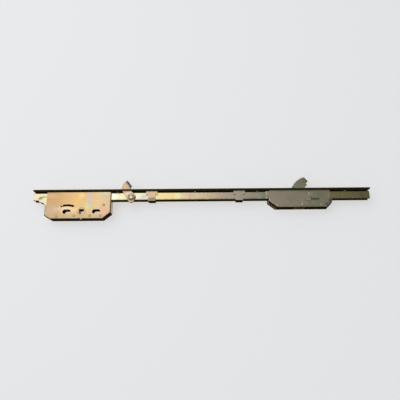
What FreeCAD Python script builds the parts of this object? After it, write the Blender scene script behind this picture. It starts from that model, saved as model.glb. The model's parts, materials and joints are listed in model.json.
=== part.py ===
"""Espagnolette lock gear with two hooks, lying on its side, in millimetres.

The origin is on the spindle axis, half way between the two plates of the cases. X runs along the
faceplate, Y points out of the faceplate's front and Z points out of the cases' cover side. The gear
is drawn locked: both hooks stand out of the faceplate. The rail slides along +X to unlock it.
"""
import FreeCAD, Part
import math
import os
import types

import Sketcher

Vector = FreeCAD.Vector
Z_AXIS = Vector(0, 0, 1)

# Every driving dimension: its name, its size and what it measures
SIZES = (
    ("backset", 33.0, "spindle axis to the front of the faceplate"),
    ("face_left", 72.0, "spindle axis to the left end"),
    ("face_right", 422.0, "spindle axis to the right end"),
    ("face_width", 20.0, "width of the faceplate"),
    ("face_thickness", 2.5, "thickness of the faceplate"),
    ("screw_hole", 4.5, "diameter of a faceplate screw hole"),
    ("screw_sink", 7.4, "diameter of its countersink"),
    ("screw_one", 50.0, "spindle axis to the first screw hole"),
    ("screw_two", 165.0, "spindle axis to the second screw hole"),
    ("screw_three", 258.0, "spindle axis to the third screw hole"),
    ("screw_four", 388.0, "spindle axis to the fourth screw hole"),
    ("sheet_thickness", 1.2, "sheet of the cases and clips"),
    ("case_thickness", 13.2, "outside to outside of a case's plates"),
    ("tab_length", 8.0, "length of a case's tab through the faceplate"),
    ("fit_gap", 0.1, "play round a tab or at a sliding face"),
    ("bearing_gap", 0.05, "play all round a turning journal or pin"),
    ("gear_case_left", 54.2, "spindle axis to the gearbox's left end"),
    ("gear_case_right", 42.5, "spindle axis to the gearbox's right end"),
    ("gear_case_depth", 44.0, "faceplate front to the gearbox's lower edge"),
    ("gear_cover_drop", 1.0, "faceplate back to the gearbox cover's top edge"),
    ("gear_chamfer_long", 11.6, "gearbox's right corner cut, along the faceplate"),
    ("gear_chamfer_deep", 9.4, "gearbox's right corner cut, away from the faceplate"),
    ("gear_left_chamfer_long", 9.5, "gearbox's left corner cut, along the faceplate"),
    ("gear_left_chamfer_deep", 5.5, "gearbox's left corner cut, away from the faceplate"),
    ("gear_notch", 2.2, "gearbox cover cut back over the rail at its left end"),
    ("gear_tab_left", 38.0, "spindle axis to the gearbox's left tab"),
    ("gear_tab_right", 30.0, "spindle axis to the gearbox's right tab"),
    ("nib_width", 3.2, "locating nib on the gearbox's lower edge"),
    ("nib_depth", 0.7, "how far the nib stands out"),
    ("hook_case_left", 273.0, "spindle axis to the hook case's left end"),
    ("hook_case_right", 366.4, "spindle axis to the hook case's right end"),
    ("hook_case_depth", 29.0, "faceplate front to the hook case's lower edge"),
    ("hook_chamfer_long", 9.0, "hook case's right corner cut, along the faceplate"),
    ("hook_chamfer_deep", 9.2, "hook case's right corner cut, away from the faceplate"),
    ("hook_left_chamfer_long", 12.3, "hook case's left corner cut, along the faceplate"),
    ("hook_left_chamfer_deep", 9.8, "hook case's left corner cut, away from the faceplate"),
    ("hook_notch", 2.9, "hook case cover cut back over the rail at its right end"),
    ("hook_tab_inset", 10.0, "hook case's end to the middle of a tab"),
    ("foot_reach", 0.8, "how far the hook case's base plate stands out past its cover's ends"),
    ("lap_height", 6.0, "height of the base plate's bent-up tabs outside the cover's corner cuts"),
    ("heel_gap_left", 6.0, "gap in the hook case's lower wall, left of the turned heel"),
    ("heel_gap_right", 10.0, "gap in the hook case's lower wall, right of the turned heel"),
    ("lip_length", 4.2, "lead-in lip at the hook case's left end, along the faceplate"),
    ("lip_depth", 10.9, "depth of the lead-in lip away from the faceplate"),
    ("lip_edge", 0.4, "thickness of the lead-in lip's end"),
    ("cover_bend", 1.8, "outside radius of a cover's bends"),
    ("rail_drop", 1.8, "faceplate back to the rail"),
    ("rail_depth", 11.7, "depth of the rail away from the faceplate"),
    ("rail_width", 10.4, "width of the rail"),
    ("rail_wall", 1.5, "sheet of the rail"),
    ("rail_bend", 1.0, "outside radius of the rail's bends"),
    ("rail_foot_bend", 1.2, "outside radius of the rail's lower edges"),
    ("rail_slot_play", 0.35, "play beside a pin that a rail slot passes"),
    ("gear_module", 1.5, "module of the rack and the follower"),
    ("gear_teeth", 12.0, "teeth of a full follower of this pitch"),
    ("turn_teeth", 3.0, "teeth that pass in a quarter turn"),
    ("tooth_height", 1.2, "follower tooth above the pitch circle"),
    ("rack_tooth_height", 0.975, "rack tooth below the pitch line"),
    ("tooth_gap", 0.3, "gap between a tooth's tip and the root it faces"),
    ("tooth_play", 0.16, "play between the flanks, along the pitch line"),
    ("pressure_angle", 20.0, "pressure angle of the teeth in degrees"),
    ("rack_play", 0.1, "rack to the rail's walls, each side"),
    ("rack_eye_left", 60.4, "spindle axis to the middle of the rack's round end"),
    ("rack_eye_radius", 4.3, "radius of the rack's round end"),
    ("rack_eye_depth", 14.0, "faceplate front to the middle of the round end"),
    ("rack_back_depth", 22.5, "faceplate front to the rack's lower edge"),
    ("rack_pad_right", 46.0, "spindle axis to the inner end of the rack's side pads"),
    ("rack_right", 25.0, "spindle axis to the rack's right end"),
    ("rack_rivet_left", 40.0, "spindle axis to the left rack rivet"),
    ("rack_rivet_right", 15.0, "spindle axis to the right rack rivet"),
    ("rack_rivet_radius", 2.0, "radius of a rack rivet"),
    ("spindle_side", 7.0, "square spindle of the handle"),
    ("spindle_play", 0.1, "square hole wider than the spindle"),
    ("journal_radius", 6.0, "follower's journals in the plates"),
    ("follower_width", 8.0, "width of the follower's teeth"),
    ("detent_cut", 0.4, "depth of the follower's two flats"),
    ("spring_thickness", 0.6, "detent spring strip"),
    ("spring_width", 8.0, "width of the detent spring"),
    ("spring_half_length", 8.0, "half the length of the detent spring"),
    ("spring_gap", 0.2, "detent spring to the follower's round"),
    ("handle_screws", 43.0, "spacing of the handle's two screws"),
    ("handle_slot_length", 12.0, "length of a handle screw slot"),
    ("handle_slot_width", 6.4, "width of a handle screw slot"),
    ("guide_slot_left", 29.55, "spindle axis to the left centre of the curved slot"),
    ("guide_slot_right", 12.45, "spindle axis to the right centre of the curved slot"),
    ("guide_slot_depth", 24.75, "faceplate front to the centres of the curved slot"),
    ("guide_slot_rise", 1.25, "height of the curved slot's bow"),
    ("guide_slot_width", 2.9, "width of the curved slot"),
    ("guide_stud_left", 28.5, "spindle axis to the guide stud"),
    ("guide_stud_depth", 24.0, "faceplate front to the guide stud"),
    ("guide_stud_radius", 0.85, "radius of the guide stud"),
    ("guide_stud_cover", 2.0, "rack left beside the guide stud"),
    ("pillar_radius", 2.0, "radius of a gearbox pillar"),
    ("head_height", 0.3, "how far a rivet's end stands out of a plate"),
    ("case_rivet_radius", 1.6, "radius of a hook case rivet"),
    ("clip_one", 101.6, "spindle axis to the left guide clip"),
    ("clip_two", 230.4, "spindle axis to the right guide clip"),
    ("clip_leg", 10.6, "width of a clip's legs"),
    ("clip_ear", 16.8, "width of a clip's ears"),
    ("clip_ear_depth", 8.3, "faceplate front to the lower end of the ears"),
    ("clip_tab", 6.0, "width of a clip's tab through the faceplate"),
    ("clip_play", 0.15, "clip's strap to the rail"),
    ("swing_pivot_left", 71.8, "spindle axis to the swing hook's pivot"),
    ("swing_pivot_depth", 12.4, "faceplate front to the swing hook's pivot"),
    ("swing_turn", 57.0, "turn of the swing hook over the full stroke in degrees"),
    ("swing_thickness", 3.0, "thickness of the swing hook"),
    ("swing_gap", 0.2, "rail to the swing hook"),
    ("swing_eye", 5.0, "radius of the swing hook's round end"),
    ("swing_eye_drop", 2.9, "pivot to the middle of the round end"),
    ("swing_rivet", 1.9, "radius of the swing hook's rivet"),
    ("swing_rivet_head", 2.6, "radius of the rivet's head"),
    ("swing_rivet_head_height", 0.8, "height of the rivet's head"),
    ("swing_slot_left", 15.3, "pivot back to the left end of its faceplate slot"),
    ("swing_slot_right", 0.2, "pivot back to the right end of its faceplate slot"),
    ("swing_slot_play", 0.2, "slot's sides to the swing hook"),
    ("swing_cam_play", 0.15, "swing hook's flank to the end of its slot"),
    ("swing_bevel_face", 3.6, "bevel of the swing hook's head, on its face"),
    ("swing_bevel_edge", 1.8, "bevel of the swing hook's head, on its edge"),
    ("hook_pivot_left", 335.5, "spindle axis to the cased hook's pivot"),
    ("hook_pivot_depth", 9.2, "faceplate front to the cased hook's pivot"),
    ("hook_turn", 70.0, "turn of the cased hook over the full stroke in degrees"),
    ("hook_reach", 28.6, "pivot to the hook's round back"),
    ("hook_play", 0.1, "hook to the rail's walls, each side"),
    ("hook_hub", 6.3, "radius of the hook's hub"),
    ("hook_pin_radius", 2.5, "radius of the hook's pivot pin"),
    ("hook_pin_head", 4.0, "radius of the pivot pin's head"),
    ("hook_pin_head_height", 0.7, "height of the pivot pin's head"),
    ("hook_bevel_face", 1.8, "bevel of the hook's end, on its face"),
    ("hook_bevel_edge", 1.8, "bevel of the hook's end, on its edge"),
    ("hook_slot_left", 28.6, "pivot back to the left end of its faceplate slot"),
    ("hook_slot_right", 3.6, "pivot back to the right end of its faceplate slot"),
    ("hook_slot_play", 0.25, "slot's sides to the hook"),
    ("drive_pin_back", 4.0, "cased hook's pivot back to the drive pin"),
    ("drive_pin_depth", 17.0, "faceplate front to the drive pin"),
    ("drive_pin_radius", 1.5, "radius of the drive pin"),
    ("drive_pin_head", 3.2, "radius of the drive pin's head"),
    ("drive_pin_head_height", 0.8, "height of the drive pin's head"),
    ("drive_pin_play", 0.15, "drive pin to its slots"),
    ("lug_half_length", 4.5, "half the length of the rail's drive lugs"),
    ("lug_cover", 2.3, "sheet left round the drive pin"),
    ("lug_tongue_cover", 0.35, "how far the lugs' tongue reaches past the cover's pin slot"),
)

# Rivets of the two cases: along X from the spindle, and height above the case's lower edge
GEAR_LOW_PILLARS = ((-36.0, 3.5), (-10.3, 4.6), (12.3, 4.8), (27.9, 4.4))
HOOK_CASE_RIVETS = ((286.3, 4.0), (323.0, 4.6), (350.1, 4.7))

# The gearbox pillar beside the rail: along X, and depth from the faceplate's front
GEAR_TOP_PILLAR = (31.8, 23.2)

# Underside of the rack's round end: where its sweep starts, and the point that it passes, in
# shares of its drop and of the round end's radius
SWEEP_START = 0.6
SWEEP_OUT, SWEEP_UP = 0.9, 0.62

# Pitches of the rack left past its travel, at each end
SPARE_PITCHES = 1.5

# Swing hook's outline about its pivot: X, and Y towards the faceplate's front
SWING_PEAK = (-6.6, 26.6)
SWING_BACK = (-11.5, 21.3)
SWING_HEEL = (-14.8, 12.4)

# Swing hook's round end: angles along it, then its shoulder in shares of its radius
SWING_EYE_ANGLES = (212.0, 300.0, 20.0)
SWING_SHOULDER = (0.72, 1.1)
SWING_SHOULDER_BOW = (1.0, 0.84)

# Cased hook's outline about its pivot: angles along its round back and its hub in degrees, and
# points in shares of its reach
HOOK_PEAK_ANGLE = 103.7
HOOK_HEEL_ANGLE = 154.0
HOOK_NECK_ANGLE = 125.0
HUB_ANGLES = (305.0, 30.0)
HOOK_TIP = (-0.061, 0.763)
HOOK_BEAK = (-0.201, 0.658)
HOOK_TOOTH_TOP = (-0.194, 0.604)
HOOK_TOOTH_TIP = (-0.126, 0.561)
HOOK_THROAT = (-0.255, 0.468)
HOOK_NECK = (-0.252, 0.381)
HOOK_HEEL_ROOT = (-0.561, 0.263)
HOOK_TAIL_TOP = (-0.320, -0.216)
HOOK_TAIL_LEFT = (-0.306, -0.453)
HOOK_TAIL_LOW = (-0.140, -0.604)
HOOK_TAIL_RIGHT = (0.025, -0.453)
CAM_STEPS = 8

COUNTERSINK_ANGLE = 90.0

# The middle of a quarter bend lies this share of its radius inside both faces
BEND_MIDDLE = 1 - math.sqrt(0.5)

# How far a cut runs past the face that it opens, and a joined part into the next
PAST = 1.0

doc = FreeCAD.newDocument("espagnolette")
sheet = doc.addObject("Spreadsheet::Sheet", "sizes")
for row, (alias, amount, meaning) in enumerate(SIZES, start=1):
    sheet.set(f"A{row}", meaning)
    sheet.set(f"B{row}", str(amount))
    sheet.setAlias(f"B{row}", alias)
doc.recompute()
size = types.SimpleNamespace(**{alias: float(sheet.get(alias)) for alias, amount, meaning in SIZES})

# Heights and places that follow from the sizes
FACE_FRONT = size.backset
FACE_BACK = FACE_FRONT - size.face_thickness
RAIL_TOP = FACE_BACK - size.rail_drop
RAIL_BOTTOM = RAIL_TOP - size.rail_depth
RAIL_HALF = size.rail_width / 2
RAIL_INSIDE = RAIL_HALF - size.rail_wall
CASE_HALF = size.case_thickness / 2
CASE_INSIDE = CASE_HALF - size.sheet_thickness
PITCH_RADIUS = size.gear_module * size.gear_teeth / 2
TOOTH_PITCH = math.pi * size.gear_module
STROKE = size.turn_teeth * TOOTH_PITCH
ROOT_RADIUS = PITCH_RADIUS - size.rack_tooth_height - size.tooth_gap
TIP_RADIUS = PITCH_RADIUS + size.tooth_height
RACK_TIP = PITCH_RADIUS - size.rack_tooth_height
RACK_ROOT = PITCH_RADIUS + size.tooth_height + size.tooth_gap
SWING_X = size.swing_pivot_left
SWING_Y = size.backset - size.swing_pivot_depth
SWING_LOW = RAIL_HALF + size.swing_gap
SWING_TOP = SWING_LOW + size.swing_thickness
HOOK_X = size.hook_pivot_left
HOOK_Y = size.backset - size.hook_pivot_depth
HOOK_HALF = RAIL_INSIDE - size.hook_play
PIN_X = HOOK_X - size.drive_pin_back
PIN_Y = size.backset - size.drive_pin_depth
PIN_ROOM = size.drive_pin_radius + size.drive_pin_play
LUG_BOTTOM = PIN_Y - size.drive_pin_radius - size.lug_cover
TONGUE_BOTTOM = PIN_Y - PIN_ROOM - size.lug_tongue_cover
TONGUE_RIGHT = PIN_X + STROKE + PIN_ROOM + size.lug_tongue_cover
SCREWS = (size.screw_one, size.screw_two, size.screw_three, size.screw_four)


def depth(distance):
    """Y of a place at this distance behind the faceplate's front."""
    return size.backset - distance


def turned(x, y, degrees):
    """The point (x, y) turned about the origin."""
    angle = math.radians(degrees)
    return x * math.cos(angle) - y * math.sin(angle), x * math.sin(angle) + y * math.cos(angle)


def polar(radius, degrees):
    """The point at this radius and angle."""
    return turned(radius, 0.0, degrees)


def new_body(label, many=False):
    """An empty body; many lets it hold separate solids."""
    body = doc.addObject("PartDesign::Body", label)
    body.Label = label
    body.AllowCompound = many
    return body


def new_sketch(body, label, role="XY_Plane", lift=None):
    """A sketch on one of the body's own planes, lifted off it by an expression."""
    sketch = body.newObject("Sketcher::SketchObject", f"{body.Label}_{label}")
    plane = next(item for item in body.Origin.OriginFeatures if item.Role == role)
    sketch.AttachmentSupport = [(plane, "")]
    sketch.MapMode = "FlatFace"
    if lift:
        sketch.setExpression("AttachmentOffset.Base.z", lift)
    return sketch


def outline(sketch, start, steps):
    """A closed outline; a step is a point, or a point on an arc and the arc's end."""
    here = Vector(*start, 0)
    first = sketch.GeometryCount
    for step in steps:
        if isinstance(step[0], tuple):
            through = Vector(*step[0], 0)
            there = Vector(*step[1], 0)
            sketch.addGeometry(Part.Arc(here, through, there))
        else:
            there = Vector(*step, 0)
            sketch.addGeometry(Part.LineSegment(here, there))
        here = there
    if (here - Vector(*start, 0)).Length > 1e-7:
        sketch.addGeometry(Part.LineSegment(here, Vector(*start, 0)))


def rectangle(sketch, left, low, right, high):
    """A rectangle between two corners."""
    outline(sketch, (left, low), [(right, low), (right, high), (left, high)])


def round_slot(sketch, left, right, middle, radius):
    """A slot along the sketch's first axis; left and right are its arcs' centres."""
    steps = [
        (right, middle - radius),
        ((right + radius, middle), (right, middle + radius)),
        (left, middle + radius),
        ((left - radius, middle), (left, middle - radius)),
    ]
    outline(sketch, (left, middle - radius), steps)


def circle(sketch, x, y, radius):
    """A circle whose radius is bound to the sheet by an expression, or is a plain number."""
    start_radius = 1.0 if isinstance(radius, str) else radius
    index = sketch.addGeometry(Part.Circle(Vector(x, y, 0), Z_AXIS, start_radius))
    if isinstance(radius, str):
        constraint = sketch.addConstraint(Sketcher.Constraint("Radius", index, start_radius))
        sketch.setExpression(f"Constraints[{constraint}]", radius)
        for axis, place in (("DistanceX", x), ("DistanceY", y)):
            sketch.addConstraint(Sketcher.Constraint(axis, -1, 1, index, 3, place))


def pad(body, sketch, length, both_ways=False):
    """Material along the sketch's normal, or half of it each way."""
    feature = body.newObject("PartDesign::Pad", f"{sketch.Label}_pad")
    feature.Profile = sketch
    feature.setExpression("Length", length)
    if both_ways:
        feature.SideType = "Symmetric"
    return feature


def cut(body, sketch, length=None, both_ways=True, upwards=False):
    """A cut through everything both ways, or to a length on one side of the sketch."""
    doc.recompute()
    before = body.Shape.Volume
    feature = body.newObject("PartDesign::Pocket", f"{sketch.Label}_cut")
    feature.Profile = sketch
    if length:
        feature.setExpression("Length", length)
    else:
        feature.Type = "ThroughAll"
    if both_ways:
        feature.SideType = "Symmetric"
    feature.Reversed = upwards
    doc.recompute()
    if body.Shape.Volume > before - 1e-6:
        raise ValueError(f"{sketch.Label} cuts nothing")
    return feature


def edges_on(body, points, height):
    """Names of the body's straight edges at this height that lie on the path through the points."""
    legs = [(Vector(*one, height), Vector(*two, height)) for one, two in zip(points, points[1:])]
    names = []
    for index, edge in enumerate(body.Shape.Edges, start=1):
        ends = [vertex.Point for vertex in edge.Vertexes]
        if len(ends) != 2 or not isinstance(edge.Curve, Part.Line):
            continue
        for one, two in legs:
            if all(point.distanceToLineSegment(one, two).Length < 1e-4 for point in ends):
                names.append(f"Edge{index}")
    return names


def bend(body, points, height, radius):
    """Rounds the edges on a path at this height."""
    doc.recompute()
    tip = body.Tip
    fillet = body.newObject("PartDesign::Fillet", f"{body.Label}_bend")
    fillet.Base = (tip, edges_on(body, points, height))
    fillet.setExpression("Radius", radius)


def bevel(body, points, height, on_face, on_edge, flip=False):
    """Bevels the edges on a path at this height; flip swaps which of the two faces gets on_face."""
    doc.recompute()
    tip = body.Tip
    before = body.Shape.Volume
    chamfer = body.newObject("PartDesign::Chamfer", f"{body.Label}_bevel")
    chamfer.Base = (tip, edges_on(body, points, height))
    chamfer.ChamferType = "Two distances"
    chamfer.FlipDirection = flip
    chamfer.setExpression("Size", on_face)
    chamfer.setExpression("Size2", on_edge)
    doc.recompute()
    if body.Shape.Volume > before - 1e-6:
        raise ValueError(f"{body.Label}'s bevel cuts nothing")
    return chamfer


def moved_cut(corner_cut, inset):
    """How far an inset moves the two ends of a corner cut, along and away from the faceplate."""
    along, away = corner_cut
    slope = math.hypot(along, away)
    return inset * (slope - away) / along, inset * (slope - along) / away


def case_outline(left, right, top, bottom, left_cut, right_cut, inset=0.0):
    """Corner points of a case's outline, moved in by inset everywhere but at the top."""
    left_slide, left_climb = moved_cut(left_cut, inset)
    right_slide, right_climb = moved_cut(right_cut, inset)
    return [
        (left + inset, top),
        (left + inset, bottom + left_cut[1] + left_climb),
        (left + left_cut[0] + left_slide, bottom + inset),
        (right - right_cut[0] - right_slide, bottom + inset),
        (right - inset, bottom + right_cut[1] + right_climb),
        (right - inset, top),
    ]


def lapped_corner(end, bottom, corner_cut, reach, lap):
    """Both ends of a corner cut's line moved out by lap, from the end moved out by reach to the bottom.

    The end is the case's right one, so the left one is worked out on its mirror image.
    """
    along, away = corner_cut
    shift = lap * math.hypot(along, away)
    upper = bottom + away + (reach * away - shift) / along
    return (end + reach, upper), (end - along + shift / away, bottom)


def mirrored(points):
    """The points on the other side of the Y axis."""
    return [(-x, y) for x, y in points]


def gear_pillar_places():
    """Centres of the gearbox's pillars, four along its lower edge and one beside the rail."""
    low = depth(size.gear_case_depth)
    top_x, top_depth = GEAR_TOP_PILLAR
    return [(x, low + height) for x, height in GEAR_LOW_PILLARS] + [(top_x, depth(top_depth))]


def hook_rivet_places():
    """Centres of the hook case's rivets."""
    low = depth(size.hook_case_depth)
    return [(x, low + height) for x, height in HOOK_CASE_RIVETS]


def make_faceplate():
    """The long faceplate, with the hooks' slots, the tabs' slots and four countersunk holes."""
    body = new_body("faceplate")
    plate = new_sketch(body, "plate")
    rectangle(plate, -size.face_left, FACE_BACK, size.face_right, FACE_FRONT)
    pad(body, plate, "sizes.face_width", both_ways=True)

    # The sketches on the XZ plane have X and Z as their axes
    slots = new_sketch(body, "slots", "XZ_Plane")
    play = size.swing_slot_play
    rectangle(slots, SWING_X - size.swing_slot_left, SWING_LOW - play,
              SWING_X - size.swing_slot_right, SWING_TOP + play)
    half = HOOK_HALF + size.hook_slot_play
    rectangle(slots, HOOK_X - size.hook_slot_left, -half, HOOK_X - size.hook_slot_right, half)
    cut(body, slots)

    tab_slots = new_sketch(body, "tab_slots", "XZ_Plane")
    gap = size.fit_gap
    half = size.tab_length / 2 + gap
    for middle in case_tab_places():
        rectangle(tab_slots, middle - half, -CASE_HALF - gap, middle + half, -CASE_INSIDE + gap)
    half = size.clip_tab / 2 + gap
    for middle in (size.clip_one, size.clip_two):
        rectangle(tab_slots, middle - half, CASE_INSIDE - gap, middle + half, CASE_HALF + gap)
        rectangle(tab_slots, middle - half, -CASE_HALF - gap, middle + half, -CASE_INSIDE + gap)
    cut(body, tab_slots)

    holes = new_sketch(body, "screw_holes", "XZ_Plane", "-sizes.backset")
    for place in SCREWS:
        circle(holes, place, 0.0, "sizes.screw_hole / 2")
    doc.recompute()
    before = body.Shape.Volume
    screws = body.newObject("PartDesign::Hole", "faceplate_screw_holes_hole")
    screws.Profile = holes
    doc.recompute()
    screws.HoleCutType = "Countersink"
    screws.HoleCutCustomValues = True
    screws.DepthType = "ThroughAll"
    screws.Reversed = True
    screws.setExpression("Diameter", "sizes.screw_hole")
    screws.setExpression("HoleCutDiameter", "sizes.screw_sink")
    screws.HoleCutCountersinkAngle = COUNTERSINK_ANGLE
    doc.recompute()
    if body.Shape.Volume > before - 1e-6:
        raise ValueError("the screw holes cut nothing")
    return body


def case_tab_places():
    """X of the middle of each case tab."""
    return (-size.gear_tab_left, size.gear_tab_right,
            size.hook_case_left + size.hook_tab_inset, size.hook_case_right - size.hook_tab_inset)


def make_base_plate(label, outline_points, tabs):
    """A case's far plate, with tabs that pass through the faceplate."""
    body = new_body(label)
    plate = new_sketch(body, "plate", lift="-sizes.case_thickness / 2")
    outline(plate, outline_points[0], outline_points[1:])
    pad(body, plate, "sizes.sheet_thickness")
    tongues = new_sketch(body, "tabs", lift="-sizes.case_thickness / 2")
    half = size.tab_length / 2
    for middle in tabs:
        rectangle(tongues, middle - half, FACE_BACK - PAST, middle + half, FACE_FRONT)
    pad(body, tongues, "sizes.sheet_thickness")
    return body


def make_cover(label, outer, inner):
    """A case's near plate with the walls bent down from its ends and lower edge."""
    body = new_body(label)
    block = new_sketch(body, "block", lift="-sizes.case_thickness / 2 + sizes.sheet_thickness")
    outline(block, outer[0], outer[1:])
    pad(body, block, "sizes.case_thickness - sizes.sheet_thickness")
    hollow = new_sketch(body, "hollow", lift="sizes.case_thickness / 2 - sizes.sheet_thickness")
    outline(hollow, inner[0], inner[1:])
    cut(body, hollow, "sizes.case_thickness", both_ways=False)
    return body


def gear_case_holes(body, near):
    """The holes that both gearbox plates have, and on the near plate the curved guide slot."""
    holes = new_sketch(body, "holes")
    for x, y in gear_pillar_places():
        circle(holes, x, y, "sizes.pillar_radius")
    circle(holes, 0.0, 0.0, "sizes.journal_radius + sizes.bearing_gap")
    radius = size.handle_slot_width / 2
    reach = size.handle_slot_length / 2 - radius
    for middle in (-size.handle_screws / 2, size.handle_screws / 2):
        round_slot(holes, middle - reach, middle + reach, 0.0, radius)
    cut(body, holes)
    if near:
        curved = new_sketch(body, "guide_slot")
        outline(curved, *guide_slot_outline())
        cut(body, curved)


def guide_slot_outline():
    """Start and steps of the curved slot, whose bow points at the faceplate."""
    half_chord = (size.guide_slot_left - size.guide_slot_right) / 2
    rise = size.guide_slot_rise
    radius = (half_chord ** 2 + rise ** 2) / (2 * rise)
    middle_x = -(size.guide_slot_left + size.guide_slot_right) / 2
    centre_y = depth(size.guide_slot_depth) + rise - radius
    half_angle = math.degrees(math.asin(half_chord / radius))
    half_width = size.guide_slot_width / 2

    def on_arc(distance, angle):
        x, y = polar(distance, 90 + angle)
        return middle_x + x, centre_y + y

    def end_cap(angle, sign):
        x, y = on_arc(radius, angle)
        along_x, along_y = polar(half_width, 90 + angle + 90 * sign)
        return x + along_x, y + along_y

    start = on_arc(radius + half_width, half_angle)
    steps = [
        (end_cap(half_angle, 1), on_arc(radius - half_width, half_angle)),
        (on_arc(radius - half_width, 0.0), on_arc(radius - half_width, -half_angle)),
        (end_cap(-half_angle, -1), on_arc(radius + half_width, -half_angle)),
        (on_arc(radius + half_width, 0.0), start),
    ]
    return start, steps


def wall_window(body, label, left, right, low, high):
    """A gap in a cover's wall, below the near plate."""
    window = new_sketch(body, label, lift="sizes.case_thickness / 2 - sizes.sheet_thickness")
    rectangle(window, left, low, right, high)
    cut(body, window, "sizes.case_thickness", both_ways=False)


def end_notch(body, label, left, right, low):
    """A notch over the rail, through a cover's end wall and the end of its plate."""
    notch = new_sketch(body, label)
    rectangle(notch, left, low, right, FACE_FRONT)
    cut(body, notch)


def make_gear_case():
    """The gearbox's base plate and its cover."""
    bottom = depth(size.gear_case_depth)
    left, right = -size.gear_case_left, size.gear_case_right
    cuts = ((size.gear_left_chamfer_long, size.gear_left_chamfer_deep),
            (size.gear_chamfer_long, size.gear_chamfer_deep))
    base = make_base_plate("gearbox_base", case_outline(left, right, FACE_BACK, bottom, *cuts),
                           (-size.gear_tab_left, size.gear_tab_right))
    gear_case_holes(base, near=False)

    top = FACE_BACK - size.gear_cover_drop
    wall = size.sheet_thickness
    outer = case_outline(left, right, top, bottom, *cuts)
    inner = case_outline(left, right, top + PAST, bottom, *cuts, inset=wall)
    cover = make_cover("gearbox_cover", outer, inner)
    bend(cover, outer, CASE_HALF, "sizes.cover_bend")
    nib = new_sketch(cover, "nib", lift="sizes.case_thickness / 2 - sizes.sheet_thickness")
    rectangle(nib, -size.nib_width / 2, bottom - size.nib_depth, size.nib_width / 2, bottom + PAST)
    pad(cover, nib, "sizes.sheet_thickness")
    gear_case_holes(cover, near=True)
    rack_edge = min(depth(size.rack_back_depth), RACK_ROOT) - size.rail_slot_play
    rail_edge = RAIL_BOTTOM - size.rail_slot_play
    end_notch(cover, "left_notch", left - PAST, left + size.gear_notch, rack_edge)
    wall_window(cover, "right_window", right - 2 * wall, right + PAST, rail_edge, FACE_FRONT)
    return base, cover


def make_hook_case():
    """The hook case's base plate and its cover."""
    bottom = depth(size.hook_case_depth)
    left, right = size.hook_case_left, size.hook_case_right
    cuts = ((size.hook_left_chamfer_long, size.hook_left_chamfer_deep),
            (size.hook_chamfer_long, size.hook_chamfer_deep))
    reach = size.foot_reach
    wall = size.sheet_thickness
    gap = size.fit_gap
    left_outside, left_inside = (
        mirrored(lapped_corner(-left, bottom, cuts[0], reach, lap)) for lap in (gap + wall, gap)
    )
    right_outside, right_inside = (
        lapped_corner(right, bottom, cuts[1], reach, lap) for lap in (gap + wall, gap)
    )
    plate = [(left - reach, FACE_BACK), *left_outside, *right_outside[::-1], (right + reach, FACE_BACK)]
    tabs = (left + size.hook_tab_inset, right - size.hook_tab_inset)
    base = make_base_plate("hook_case_base", plate, tabs)
    laps = new_sketch(base, "laps", lift="-sizes.case_thickness / 2")
    for outside, inside in ((left_outside, left_inside), (right_outside, right_inside)):
        outline(laps, outside[0], [outside[1], inside[1], inside[0]])
    pad(base, laps, "sizes.lap_height")
    outer = case_outline(left, right, FACE_BACK, bottom, *cuts)
    inner = case_outline(left, right, FACE_BACK + PAST, bottom, *cuts, inset=wall)
    cover = make_cover("hook_case_cover", outer, inner)
    bend(cover, outer, CASE_HALF, "sizes.cover_bend")

    # The lead-in lip slopes down to the rail in front of the cover's left end
    lip = new_sketch(cover, "lip", "XZ_Plane", "-sizes.backset + sizes.face_thickness + sizes.rail_drop")
    slope_low = CASE_INSIDE - size.fit_gap / 2
    outline(lip, (left + size.cover_bend, CASE_INSIDE), [
        (left + size.cover_bend, CASE_HALF),
        (left, CASE_HALF),
        (left - size.lip_length, slope_low + size.lip_edge),
        (left - size.lip_length, slope_low),
        (left - size.lip_length / 2, CASE_INSIDE),
    ])
    pad(cover, lip, "sizes.lip_depth")

    for body in (base, cover):
        holes = new_sketch(body, "holes")
        for x, y in hook_rivet_places():
            circle(holes, x, y, "sizes.case_rivet_radius")
        circle(holes, HOOK_X, HOOK_Y, "sizes.hook_pin_radius")
        cut(body, holes)
    pin_slot = new_sketch(cover, "pin_slot")
    round_slot(pin_slot, PIN_X, PIN_X + STROKE, PIN_Y, PIN_ROOM)
    cut(cover, pin_slot)

    rail_edge = RAIL_BOTTOM - size.rail_slot_play
    wall_window(cover, "left_window", left - PAST, left + 2 * wall, rail_edge, FACE_FRONT)
    end_notch(cover, "right_notch", right - size.hook_notch, right + PAST, rail_edge)

    # The heel of the hook swings down through the gap in the lower wall
    heel_x = HOOK_X + polar(size.hook_reach, HOOK_HEEL_ANGLE + size.hook_turn)[0]
    wall_window(cover, "heel_window", heel_x - size.heel_gap_left, heel_x + size.heel_gap_right,
                bottom - PAST, bottom + 2 * wall)
    return base, cover


def make_case_rivets(label, places, radius):
    """Plain rivets that hold a case's two plates together."""
    body = new_body(label, many=True)
    shafts = new_sketch(body, "shafts")
    for x, y in places:
        circle(shafts, x, y, f"sizes.{radius}")
    pad(body, shafts, "sizes.case_thickness + 2 * sizes.head_height", both_ways=True)
    return body


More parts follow.
